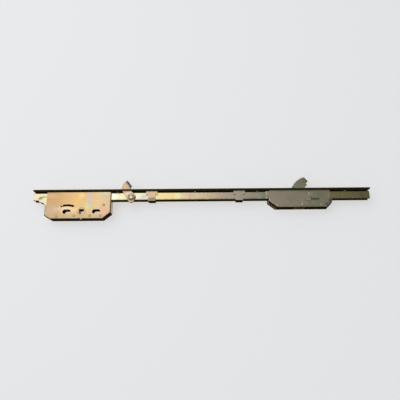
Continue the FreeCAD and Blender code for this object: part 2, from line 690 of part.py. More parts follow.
def make_rail():
    """The drive rail, a channel open away from the faceplate, with its slots and drive lugs."""
    body = new_body("drive_rail")
    section = new_sketch(body, "section", "YZ_Plane", "-sizes.face_left")
    bend = size.rail_bend
    near_bend = bend * BEND_MIDDLE
    foot = size.rail_foot_bend
    near_foot = foot * BEND_MIDDLE
    outline(section, (RAIL_BOTTOM + foot, -RAIL_HALF), [
        (RAIL_TOP - bend, -RAIL_HALF),
        ((RAIL_TOP - near_bend, -RAIL_HALF + near_bend), (RAIL_TOP, -RAIL_HALF + bend)),
        (RAIL_TOP, RAIL_HALF - bend),
        ((RAIL_TOP - near_bend, RAIL_HALF - near_bend), (RAIL_TOP - bend, RAIL_HALF)),
        (RAIL_BOTTOM + foot, RAIL_HALF),
        ((RAIL_BOTTOM + near_foot, RAIL_HALF - near_foot), (RAIL_BOTTOM, RAIL_HALF - foot)),
        (RAIL_BOTTOM, RAIL_INSIDE),
        (RAIL_TOP - size.rail_wall, RAIL_INSIDE),
        (RAIL_TOP - size.rail_wall, -RAIL_INSIDE),
        (RAIL_BOTTOM, -RAIL_INSIDE),
        (RAIL_BOTTOM, -RAIL_HALF + foot),
        ((RAIL_BOTTOM + near_foot, -RAIL_HALF + near_foot), (RAIL_BOTTOM + foot, -RAIL_HALF)),
    ])
    pad(body, section, "sizes.face_left + sizes.face_right")

    # Both walls reach down round the drive pin, with a tongue that closes the cover's pin slot
    lugs = new_sketch(body, "lugs")
    half = size.lug_half_length
    round_low = LUG_BOTTOM + half
    arc_end = PIN_X + math.sqrt(half ** 2 - (round_low - TONGUE_BOTTOM) ** 2)
    lug_top = RAIL_BOTTOM + foot + PAST
    outline(lugs, (PIN_X - half, lug_top), [
        (PIN_X - half, min(round_low, RAIL_BOTTOM)),
        ((PIN_X, LUG_BOTTOM), (arc_end, TONGUE_BOTTOM)),
        (TONGUE_RIGHT, TONGUE_BOTTOM),
        (TONGUE_RIGHT, lug_top),
    ])
    pad(body, lugs, "sizes.rail_width", both_ways=True)
    between = new_sketch(body, "between_lugs")
    rectangle(between, PIN_X - half - PAST, LUG_BOTTOM - PAST, TONGUE_RIGHT + PAST,
              RAIL_TOP - size.rail_wall)
    cut(body, between, "sizes.rail_width - 2 * sizes.rail_wall")

    # The notch lets the rack's round end and side pads come out to the rail's faces
    eye_x, eye_y = -size.rack_eye_left, depth(size.rack_eye_depth)
    notch_radius = size.rack_eye_radius + size.rail_slot_play / 2
    notch_right = -size.rack_pad_right + size.rail_slot_play
    notch = new_sketch(body, "rack_notch")
    outline(notch, (eye_x - notch_radius, RAIL_BOTTOM - PAST), [
        (eye_x - notch_radius, eye_y),
        ((eye_x - notch_radius * math.sqrt(0.5), eye_y + notch_radius * math.sqrt(0.5)),
         (eye_x, eye_y + notch_radius)),
        (notch_right, eye_y + notch_radius),
        (notch_right, RAIL_BOTTOM - PAST),
    ])
    cut(body, notch)

    holes = new_sketch(body, "holes")
    circle(holes, -size.rack_rivet_left, rack_rivet_y(), "sizes.rack_rivet_radius")
    circle(holes, size.rack_rivet_right, rack_rivet_y(), "sizes.rack_rivet_radius")
    circle(holes, PIN_X, PIN_Y, "sizes.drive_pin_radius")
    pin_room = size.hook_pin_radius + size.rail_slot_play
    round_slot(holes, HOOK_X - STROKE, HOOK_X, HOOK_Y, pin_room)
    cut(body, holes)
    swing_hole = new_sketch(body, "swing_hole")
    circle(swing_hole, SWING_X, SWING_Y, "sizes.swing_rivet")
    cut(body, swing_hole, both_ways=False, upwards=True)

    web = new_sketch(body, "web_slots", "XZ_Plane")
    screw_room = size.screw_hole / 2 + size.rail_slot_play
    for place in SCREWS:
        round_slot(web, place - STROKE, place, 0.0, screw_room)
    rectangle(web, HOOK_X - size.hook_reach - STROKE - PAST, -RAIL_INSIDE,
              HOOK_X + size.hook_hub + PAST, RAIL_INSIDE)
    cut(body, web)
    return body


def rack_rivet_y():
    """Y of the rivets that hold the rack in the rail."""
    return (RAIL_BOTTOM + RAIL_TOP - size.rail_wall) / 2


def rack_end_steps(right):
    """Outline steps from the rack's lower edge round its eye to its upper edge."""
    eye_x, eye_y = -size.rack_eye_left, depth(size.rack_eye_depth)
    radius = size.rack_eye_radius
    low = depth(size.rack_back_depth)
    sweep = eye_y - radius - low
    return [
        (eye_x + radius + sweep * SWEEP_START, low),
        ((eye_x + radius * SWEEP_OUT, low + sweep * SWEEP_UP), (eye_x, eye_y - radius)),
        ((eye_x - radius, eye_y), (eye_x, eye_y + radius)),
        (right, eye_y + radius),
    ]


def make_rack():
    """The rack plate in the rail, with straight-sided teeth and pads out to the rail's faces."""
    body = new_body("rack")
    low = depth(size.rack_back_depth)
    shoulder = -size.rack_pad_right
    tip_half = TOOTH_PITCH / 4 + size.rack_tooth_height * math.tan(math.radians(size.pressure_angle))
    root_half = TOOTH_PITCH / 4 - (RACK_ROOT - PITCH_RADIUS) * math.tan(math.radians(size.pressure_angle))
    teeth_right = SPARE_PITCHES * TOOTH_PITCH
    teeth_left = min(-(size.turn_teeth + SPARE_PITCHES) * TOOTH_PITCH,
                     -size.guide_stud_left - size.guide_stud_radius - size.guide_stud_cover)
    steps = rack_end_steps(shoulder)
    steps += [
        (shoulder, RAIL_TOP - size.rail_wall - size.rack_play),
        (size.rack_right, RAIL_TOP - size.rail_wall - size.rack_play),
        (size.rack_right, RAIL_BOTTOM),
        (teeth_right + PAST, RAIL_BOTTOM),
        (teeth_right, RACK_TIP),
    ]
    for gap in range(1, -int(size.turn_teeth) - 2, -1):
        middle = gap * TOOTH_PITCH
        steps += [
            (middle + tip_half, RACK_TIP),
            (middle + root_half, RACK_ROOT),
            (middle - root_half, RACK_ROOT),
            (middle - tip_half, RACK_TIP),
        ]
    steps.append((teeth_left, RACK_TIP))
    plate = new_sketch(body, "plate")
    outline(plate, (teeth_left - PAST, low), steps)
    pad(body, plate, "sizes.rail_width - 2 * sizes.rail_wall - 2 * sizes.rack_play", both_ways=True)

    pads = new_sketch(body, "side_pads")
    outline(pads, (shoulder, low), rack_end_steps(shoulder))
    pad(body, pads, "sizes.rail_width", both_ways=True)

    holes = new_sketch(body, "rivet_holes")
    circle(holes, -size.rack_rivet_left, rack_rivet_y(), "sizes.rack_rivet_radius")
    circle(holes, size.rack_rivet_right, rack_rivet_y(), "sizes.rack_rivet_radius")
    cut(body, holes)
    return body


def make_rack_rivets():
    """Two flush rivets through the rail's walls and the rack."""
    body = new_body("rack_rivets", many=True)
    shafts = new_sketch(body, "shafts")
    circle(shafts, -size.rack_rivet_left, rack_rivet_y(), "sizes.rack_rivet_radius")
    circle(shafts, size.rack_rivet_right, rack_rivet_y(), "sizes.rack_rivet_radius")
    pad(body, shafts, "sizes.rail_width", both_ways=True)
    return body


def make_guide_stud():
    """The stud on the rack that runs in the cover's curved slot."""
    body = new_body("guide_stud")
    root = "sizes.rail_width / 2 - sizes.rail_wall - sizes.rack_play"
    shaft = new_sketch(body, "shaft", lift=root)
    circle(shaft, -size.guide_stud_left, depth(size.guide_stud_depth), "sizes.guide_stud_radius")
    pad(body, shaft, f"sizes.case_thickness / 2 + sizes.head_height - ({root})")
    return body


def tooth_points(middle):
    """Half-outlines of one follower tooth: root, base circle, flank and tip, left then right."""
    base_radius = PITCH_RADIUS * math.cos(math.radians(size.pressure_angle))
    angle = math.radians(size.pressure_angle)
    involute = math.tan(angle) - angle
    half_pitch_angle = (TOOTH_PITCH / 2 - size.tooth_play) / 2 / PITCH_RADIUS
    points = []
    for radius in (ROOT_RADIUS, base_radius, (base_radius + TIP_RADIUS) / 2, TIP_RADIUS):
        flank_angle = math.acos(min(1.0, base_radius / radius))
        half = half_pitch_angle + involute - (math.tan(flank_angle) - flank_angle)
        points.append((radius, math.degrees(half)))
    right = [polar(radius, middle - half) for radius, half in points]
    left = [polar(radius, middle + half) for radius, half in points]
    return right, left


def make_follower():
    """The handle's follower: a toothed sector on a hub with two detent flats and journals."""
    body = new_body("follower")
    spacing = 360 / size.gear_teeth
    middles = [90 + spacing * step for step in range(-1, int(size.turn_teeth) + 1)]
    first_right = tooth_points(middles[0])[0]
    steps = []
    for index, middle in enumerate(middles):
        right, left = tooth_points(middle)
        if index:
            between = middle - spacing / 2
            steps.append((polar(ROOT_RADIUS, between), right[0]))
        steps += [right[1], (right[2], right[3]), (polar(TIP_RADIUS, middle), left[3]),
                  (left[2], left[1]), left[0]]
    flat_distance = ROOT_RADIUS - size.detent_cut
    flat_half = math.degrees(math.acos(flat_distance / ROOT_RADIUS))
    last_angle = math.degrees(math.atan2(steps[-1][1], steps[-1][0])) % 360
    flat_start = 270 - flat_half
    steps += [
        (polar(ROOT_RADIUS, (last_angle + flat_start) / 2), polar(ROOT_RADIUS, flat_start)),
        polar(ROOT_RADIUS, 270 + flat_half),
        (polar(ROOT_RADIUS, 315), polar(ROOT_RADIUS, 360 - flat_half)),
        polar(ROOT_RADIUS, flat_half),
        (polar(ROOT_RADIUS, (flat_half + middles[0] - spacing / 4) / 2), first_right[0]),
    ]
    sector = new_sketch(body, "sector")
    outline(sector, first_right[0], steps)
    pad(body, sector, "sizes.follower_width", both_ways=True)
    journals = new_sketch(body, "journals")
    circle(journals, 0.0, 0.0, "sizes.journal_radius")
    pad(body, journals, "sizes.case_thickness", both_ways=True)
    square = new_sketch(body, "square")
    half = (size.spindle_side + size.spindle_play) / 2
    rectangle(square, -half, -half, half, half)
    cut(body, square)
    return body


def make_detent_spring():
    """The bowed strip under the follower that holds it at each end of its quarter turn."""
    body = new_body("detent_spring")
    floor = depth(size.gear_case_depth) + size.sheet_thickness + size.fit_gap
    top = -ROOT_RADIUS - size.spring_gap
    half = size.spring_half_length
    thick = size.spring_thickness
    arch = new_sketch(body, "arch")
    outline(arch, (-half, floor), [
        ((0.0, top - thick), (half, floor)),
        (half, floor + thick),
        ((0.0, top), (-half, floor + thick)),
    ])
    pad(body, arch, "sizes.spring_width", both_ways=True)
    return body


def make_guide_clip(label, middle):
    """A bent clip that holds the rail to the faceplate."""
    body = new_body(label)
    strap_top = RAIL_BOTTOM - size.clip_play
    strap_low = strap_top - size.sheet_thickness
    ear_low = depth(size.clip_ear_depth)
    leg, ear, tab = size.clip_leg / 2, size.clip_ear / 2, size.clip_tab / 2
    bend = size.sheet_thickness
    near_bend = bend * BEND_MIDDLE
    blank = new_sketch(body, "blank")
    outline(blank, (middle - leg, strap_low), [
        (middle + leg, strap_low),
        (middle + leg, ear_low - bend),
        ((middle + leg + near_bend, ear_low - near_bend), (middle + leg + bend, ear_low)),
        (middle + ear, ear_low),
        (middle + ear, FACE_BACK),
        (middle + tab, FACE_BACK),
        (middle + tab, FACE_FRONT),
        (middle - tab, FACE_FRONT),
        (middle - tab, FACE_BACK),
        (middle - ear, FACE_BACK),
        (middle - ear, ear_low),
        (middle - leg - bend, ear_low),
        ((middle - leg - near_bend, ear_low - near_bend), (middle - leg, ear_low - bend)),
    ])
    pad(body, blank, "sizes.case_thickness", both_ways=True)
    inside = new_sketch(body, "inside")
    rectangle(inside, middle - ear - PAST, strap_top, middle + ear + PAST, FACE_FRONT + PAST)
    cut(body, inside, "sizes.case_thickness - 2 * sizes.sheet_thickness")
    return body


def swing_flank():
    """The swing hook's right flank: the path of its slot's lower right corner on the hook."""
    corner_x = -size.swing_slot_right - size.swing_cam_play
    corner_y = FACE_BACK - SWING_Y - size.swing_cam_play
    points = []
    for part in (0.0, 0.25, 0.5, 0.75, 1.0):
        points.append(turned(corner_x - part * STROKE, corner_y, -part * size.swing_turn))
    return points


def make_swing_hook():
    """The hook that turns on the rail and folds as the end of its faceplate slot pushes it."""
    body = new_body("swing_hook")
    flank = swing_flank()
    eye_start, eye_middle, eye_end = (
        (x, y - size.swing_eye_drop)
        for x, y in (polar(size.swing_eye, angle) for angle in SWING_EYE_ANGLES)
    )
    shoulder, bow = (
        (share[0] * size.swing_eye, share[1] * size.swing_eye)
        for share in (SWING_SHOULDER, SWING_SHOULDER_BOW)
    )

    def place(point):
        return SWING_X + point[0], SWING_Y + point[1]

    blank = new_sketch(body, "blank", lift="sizes.rail_width / 2 + sizes.swing_gap")
    outline(blank, place(SWING_PEAK), [
        (place(SWING_BACK), place(SWING_HEEL)),
        place(eye_start),
        (place(eye_middle), place(eye_end)),
        (place(bow), place(shoulder)),
        place(flank[0]),
        (place(flank[1]), place(flank[2])),
        (place(flank[3]), place(flank[4])),
    ])
    pad(body, blank, "sizes.swing_thickness")
    bevel(body, [place(flank[4]), place(SWING_PEAK)], SWING_TOP,
          "sizes.swing_bevel_face", "sizes.swing_bevel_edge", flip=True)
    bore = new_sketch(body, "bore")
    circle(bore, SWING_X, SWING_Y, "sizes.swing_rivet + sizes.bearing_gap")
    cut(body, bore)
    return body


def make_swing_rivet():
    """The headed rivet that carries the swing hook on the rail's near wall."""
    body = new_body("swing_hook_rivet")
    near = "sizes.rail_width / 2 + 2 * sizes.swing_gap + sizes.swing_thickness"
    inner = "sizes.rail_width / 2 - sizes.rail_wall"
    shaft = new_sketch(body, "shaft", lift=inner)
    circle(shaft, SWING_X, SWING_Y, "sizes.swing_rivet")
    pad(body, shaft, f"{near} - ({inner})")
    head = new_sketch(body, "head", lift=near)
    circle(head, SWING_X, SWING_Y, "sizes.swing_rivet_head")
    pad(body, head, "sizes.swing_rivet_head_height")
    return body


def cam_slot_solid():
    """The room that the drive pin sweeps in the cased hook, as the hook turns at a steady rate."""
    radius = PIN_ROOM
    height = 4 * HOOK_HALF
    low = -height / 2
    places = []
    for step in range(CAM_STEPS + 1):
        part = step / CAM_STEPS
        x, y = turned(PIN_X - HOOK_X + part * STROKE, PIN_Y - HOOK_Y, -part * size.hook_turn)
        places.append(Vector(HOOK_X + x, HOOK_Y + y, low))
    solid = Part.makeCylinder(radius, height, places[0])
    for before, after in zip(places, places[1:]):
        along = after - before
        side = Vector(-along.y, along.x, 0).normalize() * radius
        corners = [before + side, before - side, after - side, after + side, before + side]
        bridge = Part.Face(Part.makePolygon(corners)).extrude(Vector(0, 0, height))
        solid = solid.fuse([bridge, Part.makeCylinder(radius, height, after)])
    return solid.removeSplitter()


def make_hook():
    """The cased hook: a round back, a beak, a hub and a tail with the cam slot."""
    body = new_body("hook_blank")
    reach = size.hook_reach

    def place(share):
        return HOOK_X + share[0] * reach, HOOK_Y + share[1] * reach

    peak = polar(1.0, HOOK_PEAK_ANGLE)
    heel = polar(1.0, HOOK_HEEL_ANGLE)
    middle = polar(1.0, (HOOK_PEAK_ANGLE + HOOK_HEEL_ANGLE) / 2)
    hub_start, hub_middle, hub_end = (
        polar(size.hook_hub / reach, angle) for angle in (*HUB_ANGLES, HOOK_NECK_ANGLE)
    )
    blank = new_sketch(body, "blank")
    outline(blank, place(peak), [
        (place(middle), place(heel)),
        place(HOOK_HEEL_ROOT),
        place(HOOK_TAIL_TOP),
        place(HOOK_TAIL_LEFT),
        (place(HOOK_TAIL_LOW), place(HOOK_TAIL_RIGHT)),
        place(hub_start),
        (place(hub_middle), place(hub_end)),
        place(HOOK_NECK),
        place(HOOK_THROAT),
        place(HOOK_TOOTH_TIP),
        place(HOOK_TOOTH_TOP),
        place(HOOK_BEAK),
        place(HOOK_TIP),
    ])
    pad(body, blank, "sizes.rail_width - 2 * sizes.rail_wall - 2 * sizes.hook_play", both_ways=True)
    bevel(body, [place(HOOK_TIP), place(peak)], HOOK_HALF,
          "sizes.hook_bevel_face", "sizes.hook_bevel_edge")
    bore = new_sketch(body, "bore")
    circle(bore, HOOK_X, HOOK_Y, "sizes.hook_pin_radius + sizes.bearing_gap")
    cut(body, bore)

    slot = doc.addObject("Part::Feature", "hook_cam_slot")
    slot.Shape = cam_slot_solid()
    hook = doc.addObject("Part::Cut", "hook")
    hook.Label = "hook"
    hook.Base = body
    hook.Tool = slot
    return hook


def make_hook_pivot():
    """The pin that carries the cased hook, headed on the near plate."""
    body = new_body("hook_pivot")
    shaft = new_sketch(body, "shaft", lift="-sizes.case_thickness / 2 - sizes.head_height")
    circle(shaft, HOOK_X, HOOK_Y, "sizes.hook_pin_radius")
    pad(body, shaft, "sizes.case_thickness + sizes.head_height")
    head = new_sketch(body, "head", lift="sizes.case_thickness / 2")
    circle(head, HOOK_X, HOOK_Y, "sizes.hook_pin_head")
    pad(body, head, "sizes.hook_pin_head_height")
    return body


def make_drive_pin():
    """The pin in the rail's lugs that works the cased hook and shows in the cover's slot."""
    body = new_body("drive_pin")
    far = "-sizes.rail_width / 2"
    near = "sizes.case_thickness / 2 + sizes.drive_pin_play"
    shaft = new_sketch(body, "shaft", lift=far)
    circle(shaft, PIN_X, PIN_Y, "sizes.drive_pin_radius")
    pad(body, shaft, f"{near} - ({far})")
    head = new_sketch(body, "head", lift=near)
    circle(head, PIN_X, PIN_Y, "sizes.drive_pin_head")
    pad(body, head, "sizes.drive_pin_head_height")
    return body


def build():
    """Every piece of the gear, in the order of its assembly."""
    pieces = [make_faceplate()]
    pieces += make_gear_case()
    pieces.append(make_case_rivets("gearbox_pillars", gear_pillar_places(), "pillar_radius"))
    pieces += [make_follower(), make_detent_spring()]
    pieces += [make_rail(), make_rack(), make_rack_rivets(), make_guide_stud()]
    pieces += [make_guide_clip("guide_clip_left", size.clip_one)]
    pieces += [make_guide_clip("guide_clip_right", size.clip_two)]
    pieces += [make_swing_hook(), make_swing_rivet()]
    pieces += make_hook_case()
    pieces.append(make_case_rivets("hook_case_rivets", hook_rivet_places(), "case_rivet_radius"))
    pieces += [make_hook(), make_hook_pivot(), make_drive_pin()]
    return pieces


def check(pieces):
    """Stops when a feature failed or a piece has no valid solid."""
    for item in doc.Objects:
        if {"Invalid", "Error"} & set(item.State):
            raise ValueError(f"{item.Name} failed")
    for piece in pieces:
        if piece.Shape.isNull() or not piece.Shape.isValid() or not piece.Shape.Solids:
            raise ValueError(f"{piece.Label} has no valid solid")


def write(pieces):
    """Writes each piece to its own file."""
    os.makedirs("parts", exist_ok=True)
    for piece in pieces:
        piece.Shape.exportStep(f"parts/{piece.Label}.step")
        print(f"{piece.Label}: {len(piece.Shape.Solids)} solids, {piece.Shape.Volume:.1f} mm3")


gear = build()
doc.recompute()
check(gear)
write(gear)
print(f"stroke of the rail: {STROKE:.3f} mm")
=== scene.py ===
"""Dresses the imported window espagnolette: a lock gear with two hooks, in yellow passivated steel."""
import json
import logging
import math
from collections.abc import Iterable
from dataclasses import dataclass, field, replace
from enum import Enum

import bmesh
import bpy
from mathutils import Matrix, Vector
from mathutils.bvhtree import BVHTree

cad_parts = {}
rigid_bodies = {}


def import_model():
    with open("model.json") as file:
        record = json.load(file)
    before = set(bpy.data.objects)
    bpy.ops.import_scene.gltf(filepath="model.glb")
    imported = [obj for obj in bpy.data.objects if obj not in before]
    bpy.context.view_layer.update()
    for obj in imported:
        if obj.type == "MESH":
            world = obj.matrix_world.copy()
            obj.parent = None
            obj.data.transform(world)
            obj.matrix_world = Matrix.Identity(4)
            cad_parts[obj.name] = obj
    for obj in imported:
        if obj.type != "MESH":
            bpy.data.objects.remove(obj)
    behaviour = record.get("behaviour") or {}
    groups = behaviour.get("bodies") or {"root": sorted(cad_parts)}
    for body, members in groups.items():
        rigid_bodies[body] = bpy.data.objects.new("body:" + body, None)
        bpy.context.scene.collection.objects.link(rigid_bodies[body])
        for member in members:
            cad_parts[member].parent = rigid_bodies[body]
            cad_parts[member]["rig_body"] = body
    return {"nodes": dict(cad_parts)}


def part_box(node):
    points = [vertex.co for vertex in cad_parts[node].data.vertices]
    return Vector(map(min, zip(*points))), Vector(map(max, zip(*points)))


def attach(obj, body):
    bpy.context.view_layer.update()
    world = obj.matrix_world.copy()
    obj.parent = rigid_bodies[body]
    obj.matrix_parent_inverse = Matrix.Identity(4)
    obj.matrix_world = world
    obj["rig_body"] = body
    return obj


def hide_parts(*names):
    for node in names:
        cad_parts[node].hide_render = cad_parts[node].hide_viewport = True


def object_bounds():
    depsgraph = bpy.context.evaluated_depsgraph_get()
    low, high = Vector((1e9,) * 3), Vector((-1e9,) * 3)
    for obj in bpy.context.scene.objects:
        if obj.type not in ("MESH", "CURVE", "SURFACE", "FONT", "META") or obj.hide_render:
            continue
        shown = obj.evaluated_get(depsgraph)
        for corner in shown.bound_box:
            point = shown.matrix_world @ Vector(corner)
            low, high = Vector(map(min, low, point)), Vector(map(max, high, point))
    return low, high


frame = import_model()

LOG = logging.getLogger("espagnolette")
MM = 0.001
CAD_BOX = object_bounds()

Color = tuple[float, float, float]
Stop = tuple[float, Color]
Spot = tuple[float, float]
Point = tuple[float, float, float]
Wire = tuple[bpy.types.Node, str, bpy.types.Node, str]


# Named options

class Side(Enum):
    """Which face of the gear a row of rivet heads stands on."""

    NEAR = "near"
    FAR = "far"


class Sheet(Enum):
    """Which way the broad faces of a piece's sheet look."""

    TO_FRONT = "Y"
    TO_COVER = "Z"


class Edge(Enum):
    """How wide the softened edges of a kind of piece are, in millimetres."""

    STRIP = 0.08
    STUD = 0.1
    SHEET = 0.12
    PLATE = 0.2
    PIN_HEAD = 0.4
    PIVOT_HEAD = 0.45


# Node helpers

COLUMN = 200.0
ROW = 160.0
BLACK = (0.0, 0.0, 0.0)
WHITE = (1.0, 1.0, 1.0)

# Places of the colour sockets on a Mix node
MIX_FACTOR = 0
MIX_BELOW = 6
MIX_ABOVE = 7
MIX_RESULT = 2


def fill(node: bpy.types.Node, inputs: dict[str, object]) -> None:
    """Sets a node's plain inputs.

    Args:
        node: The node.
        inputs: Input values, with spaces in their names written as underscores.
    """
    for name, value in inputs.items():
        node.inputs[name.replace("_", " ")].default_value = value


def feed(tree: bpy.types.NodeTree, target: bpy.types.NodeSocket, value: object) -> None:
    """Links a socket to an input, or sets the input where the value is plain.

    Args:
        tree: The node tree.
        target: The input.
        value: Socket or plain value.
    """
    if isinstance(value, bpy.types.NodeSocket):
        tree.links.new(value, target)
    else:
        target.default_value = value


def wire(tree: bpy.types.NodeTree, *wires: Wire) -> None:
    """Links outputs to inputs.

    Args:
        tree: The node tree.
        *wires: Node and output that a link starts from, and node and input where it ends.
    """
    for source, out, target, into in wires:
        tree.links.new(source.outputs[out], target.inputs[into])


def put(tree: bpy.types.NodeTree, kind: str, x: float, y: float, **inputs: object) -> bpy.types.Node:
    """Adds a node and sets its plain inputs.

    Args:
        tree: The node tree that gets the node.
        kind: Blender's name of the node type.
        x: Column in the editor.
        y: Row in the editor.
        **inputs: Input values, with spaces in their names written as underscores.

    Returns:
        The new node.
    """
    node = tree.nodes.new(kind)
    node.location = (x * COLUMN, y * ROW)
    fill(node, inputs)
    return node


def use_group(tree: bpy.types.NodeTree, group: bpy.types.NodeTree, x: float, y: float,
              **inputs: object) -> bpy.types.Node:
    """Places a shared group in a material.

    Args:
        tree: The material's tree.
        group: The shared group.
        x: Column in the editor.
        y: Row in the editor.
        **inputs: Input values, with spaces in their names written as underscores.

    Returns:
        The group's node.
    """
    node = put(tree, "ShaderNodeGroup", x, y)
    node.node_tree = group
    fill(node, inputs)
    return node


def ramp(tree: bpy.types.NodeTree, x: float, y: float, stops: Iterable[Stop]) -> bpy.types.Node:
    """Adds a colour ramp.

    Args:
        tree: The node tree that gets the ramp.
        x: Column in the editor.
        y: Row in the editor.
        stops: Places along the ramp and their colours.

    Returns:
        The colour ramp node.
    """
    node = put(tree, "ShaderNodeValToRGB", x, y)
    wanted = list(stops)
    elements = node.color_ramp.elements
    while len(elements) < len(wanted):
        elements.new(0.5)
    for element, (place, color) in zip(elements, wanted):
        element.position = place
        element.color = (*color, 1.0)
    return node


def mix(tree: bpy.types.NodeTree, x: float, y: float, how: str, factor: object, one: object,
        two: object) -> bpy.types.NodeSocket:
    """Mixes two colours.

    Args:
        tree: The node tree that gets the mix.
        x: Column in the editor.
        y: Row in the editor.
        how: Blend type, such as MIX or MULTIPLY.
        factor: Socket or number for the share of the second colour.
        one: Socket or colour below.
        two: Socket or colour on top.

    Returns:
        The mixed colour's socket.
    """
    node = put(tree, "ShaderNodeMix", x, y)
    node.data_type = "RGBA"
    node.blend_type = how
    feed(tree, node.inputs[MIX_FACTOR], factor)
    for index, color in ((MIX_BELOW, one), (MIX_ABOVE, two)):
        linked = isinstance(color, bpy.types.NodeSocket)
        feed(tree, node.inputs[index], color if linked else (*color, 1.0))
    return node.outputs[MIX_RESULT]


def maths(tree: bpy.types.NodeTree, x: float, y: float, how: str, one: object,
          two: object = 0.0) -> bpy.types.NodeSocket:
    """Works out one value from two.

    Args:
        tree: The node tree that gets the node.
        x: Column in the editor.
        y: Row in the editor.
        how: Operation, such as MULTIPLY.
        one: First socket or number.
        two: Second socket or number.

    Returns:
        The result's socket.
    """
    node = put(tree, "ShaderNodeMath", x, y)
    node.operation = how
    for target, value in zip(node.inputs, (one, two)):
        feed(tree, target, value)
    return node.outputs[0]


def vector_maths(tree: bpy.types.NodeTree, x: float, y: float, how: str, one: bpy.types.NodeSocket,
                 two: bpy.types.NodeSocket) -> bpy.types.NodeSocket:
    """Works out one vector from two.

    Args:
        tree: The node tree that gets the node.
        x: Column in the editor.
        y: Row in the editor.
        how: Operation, such as SUBTRACT.
        one: First socket.
        two: Second socket.

    Returns:
        The result's socket.
    """
    node = put(tree, "ShaderNodeVectorMath", x, y)
    node.operation = how
    for target, value in zip(node.inputs, (one, two)):
        feed(tree, target, value)
    return node.outputs["Vector"]


def new_group(name: str, inputs: list[tuple[str, str, object]],
              outputs: list[tuple[str, str]]) -> tuple[bpy.types.NodeTree, bpy.types.Node, bpy.types.Node]:
    """Starts a shader node group.

    Args:
        name: Name of the group.
        inputs: Name, socket type and default of each input.
        outputs: Name and socket type of each output.

    Returns:
        The group's tree, its input node and its output node.
    """
    tree = bpy.data.node_groups.new(name, "ShaderNodeTree")
    for label, kind, value in inputs:
        socket = tree.interface.new_socket(name=label, in_out="INPUT", socket_type=kind)
        socket.default_value = value
    for label, kind in outputs:
        tree.interface.new_socket(name=label, in_out="OUTPUT", socket_type=kind)
    entry = tree.nodes.new("NodeGroupInput")
    entry.location = (-800.0, 0.0)
    leave = tree.nodes.new("NodeGroupOutput")
    leave.location = (1400.0, 0.0)
    return tree, entry, leave


# Effects that several finishes share

# Where the painted shade on cut edges, bent walls and backs begins and is full, by how squarely a face looks
# the sheet's way
EDGE_SHADE_SPAN = {Sheet.TO_FRONT: (0.8, 0.1), Sheet.TO_COVER: (0.97, 0.72)}
ENDWISE_POWER = 8.0
INSIDE_SHADE_FADE = 0.3 * MM
CLOUDS_TO_PATCHES = 3.1
RIM_SWING = 1.8
RIM_START = 2.3
RIM_FULL = 0.95


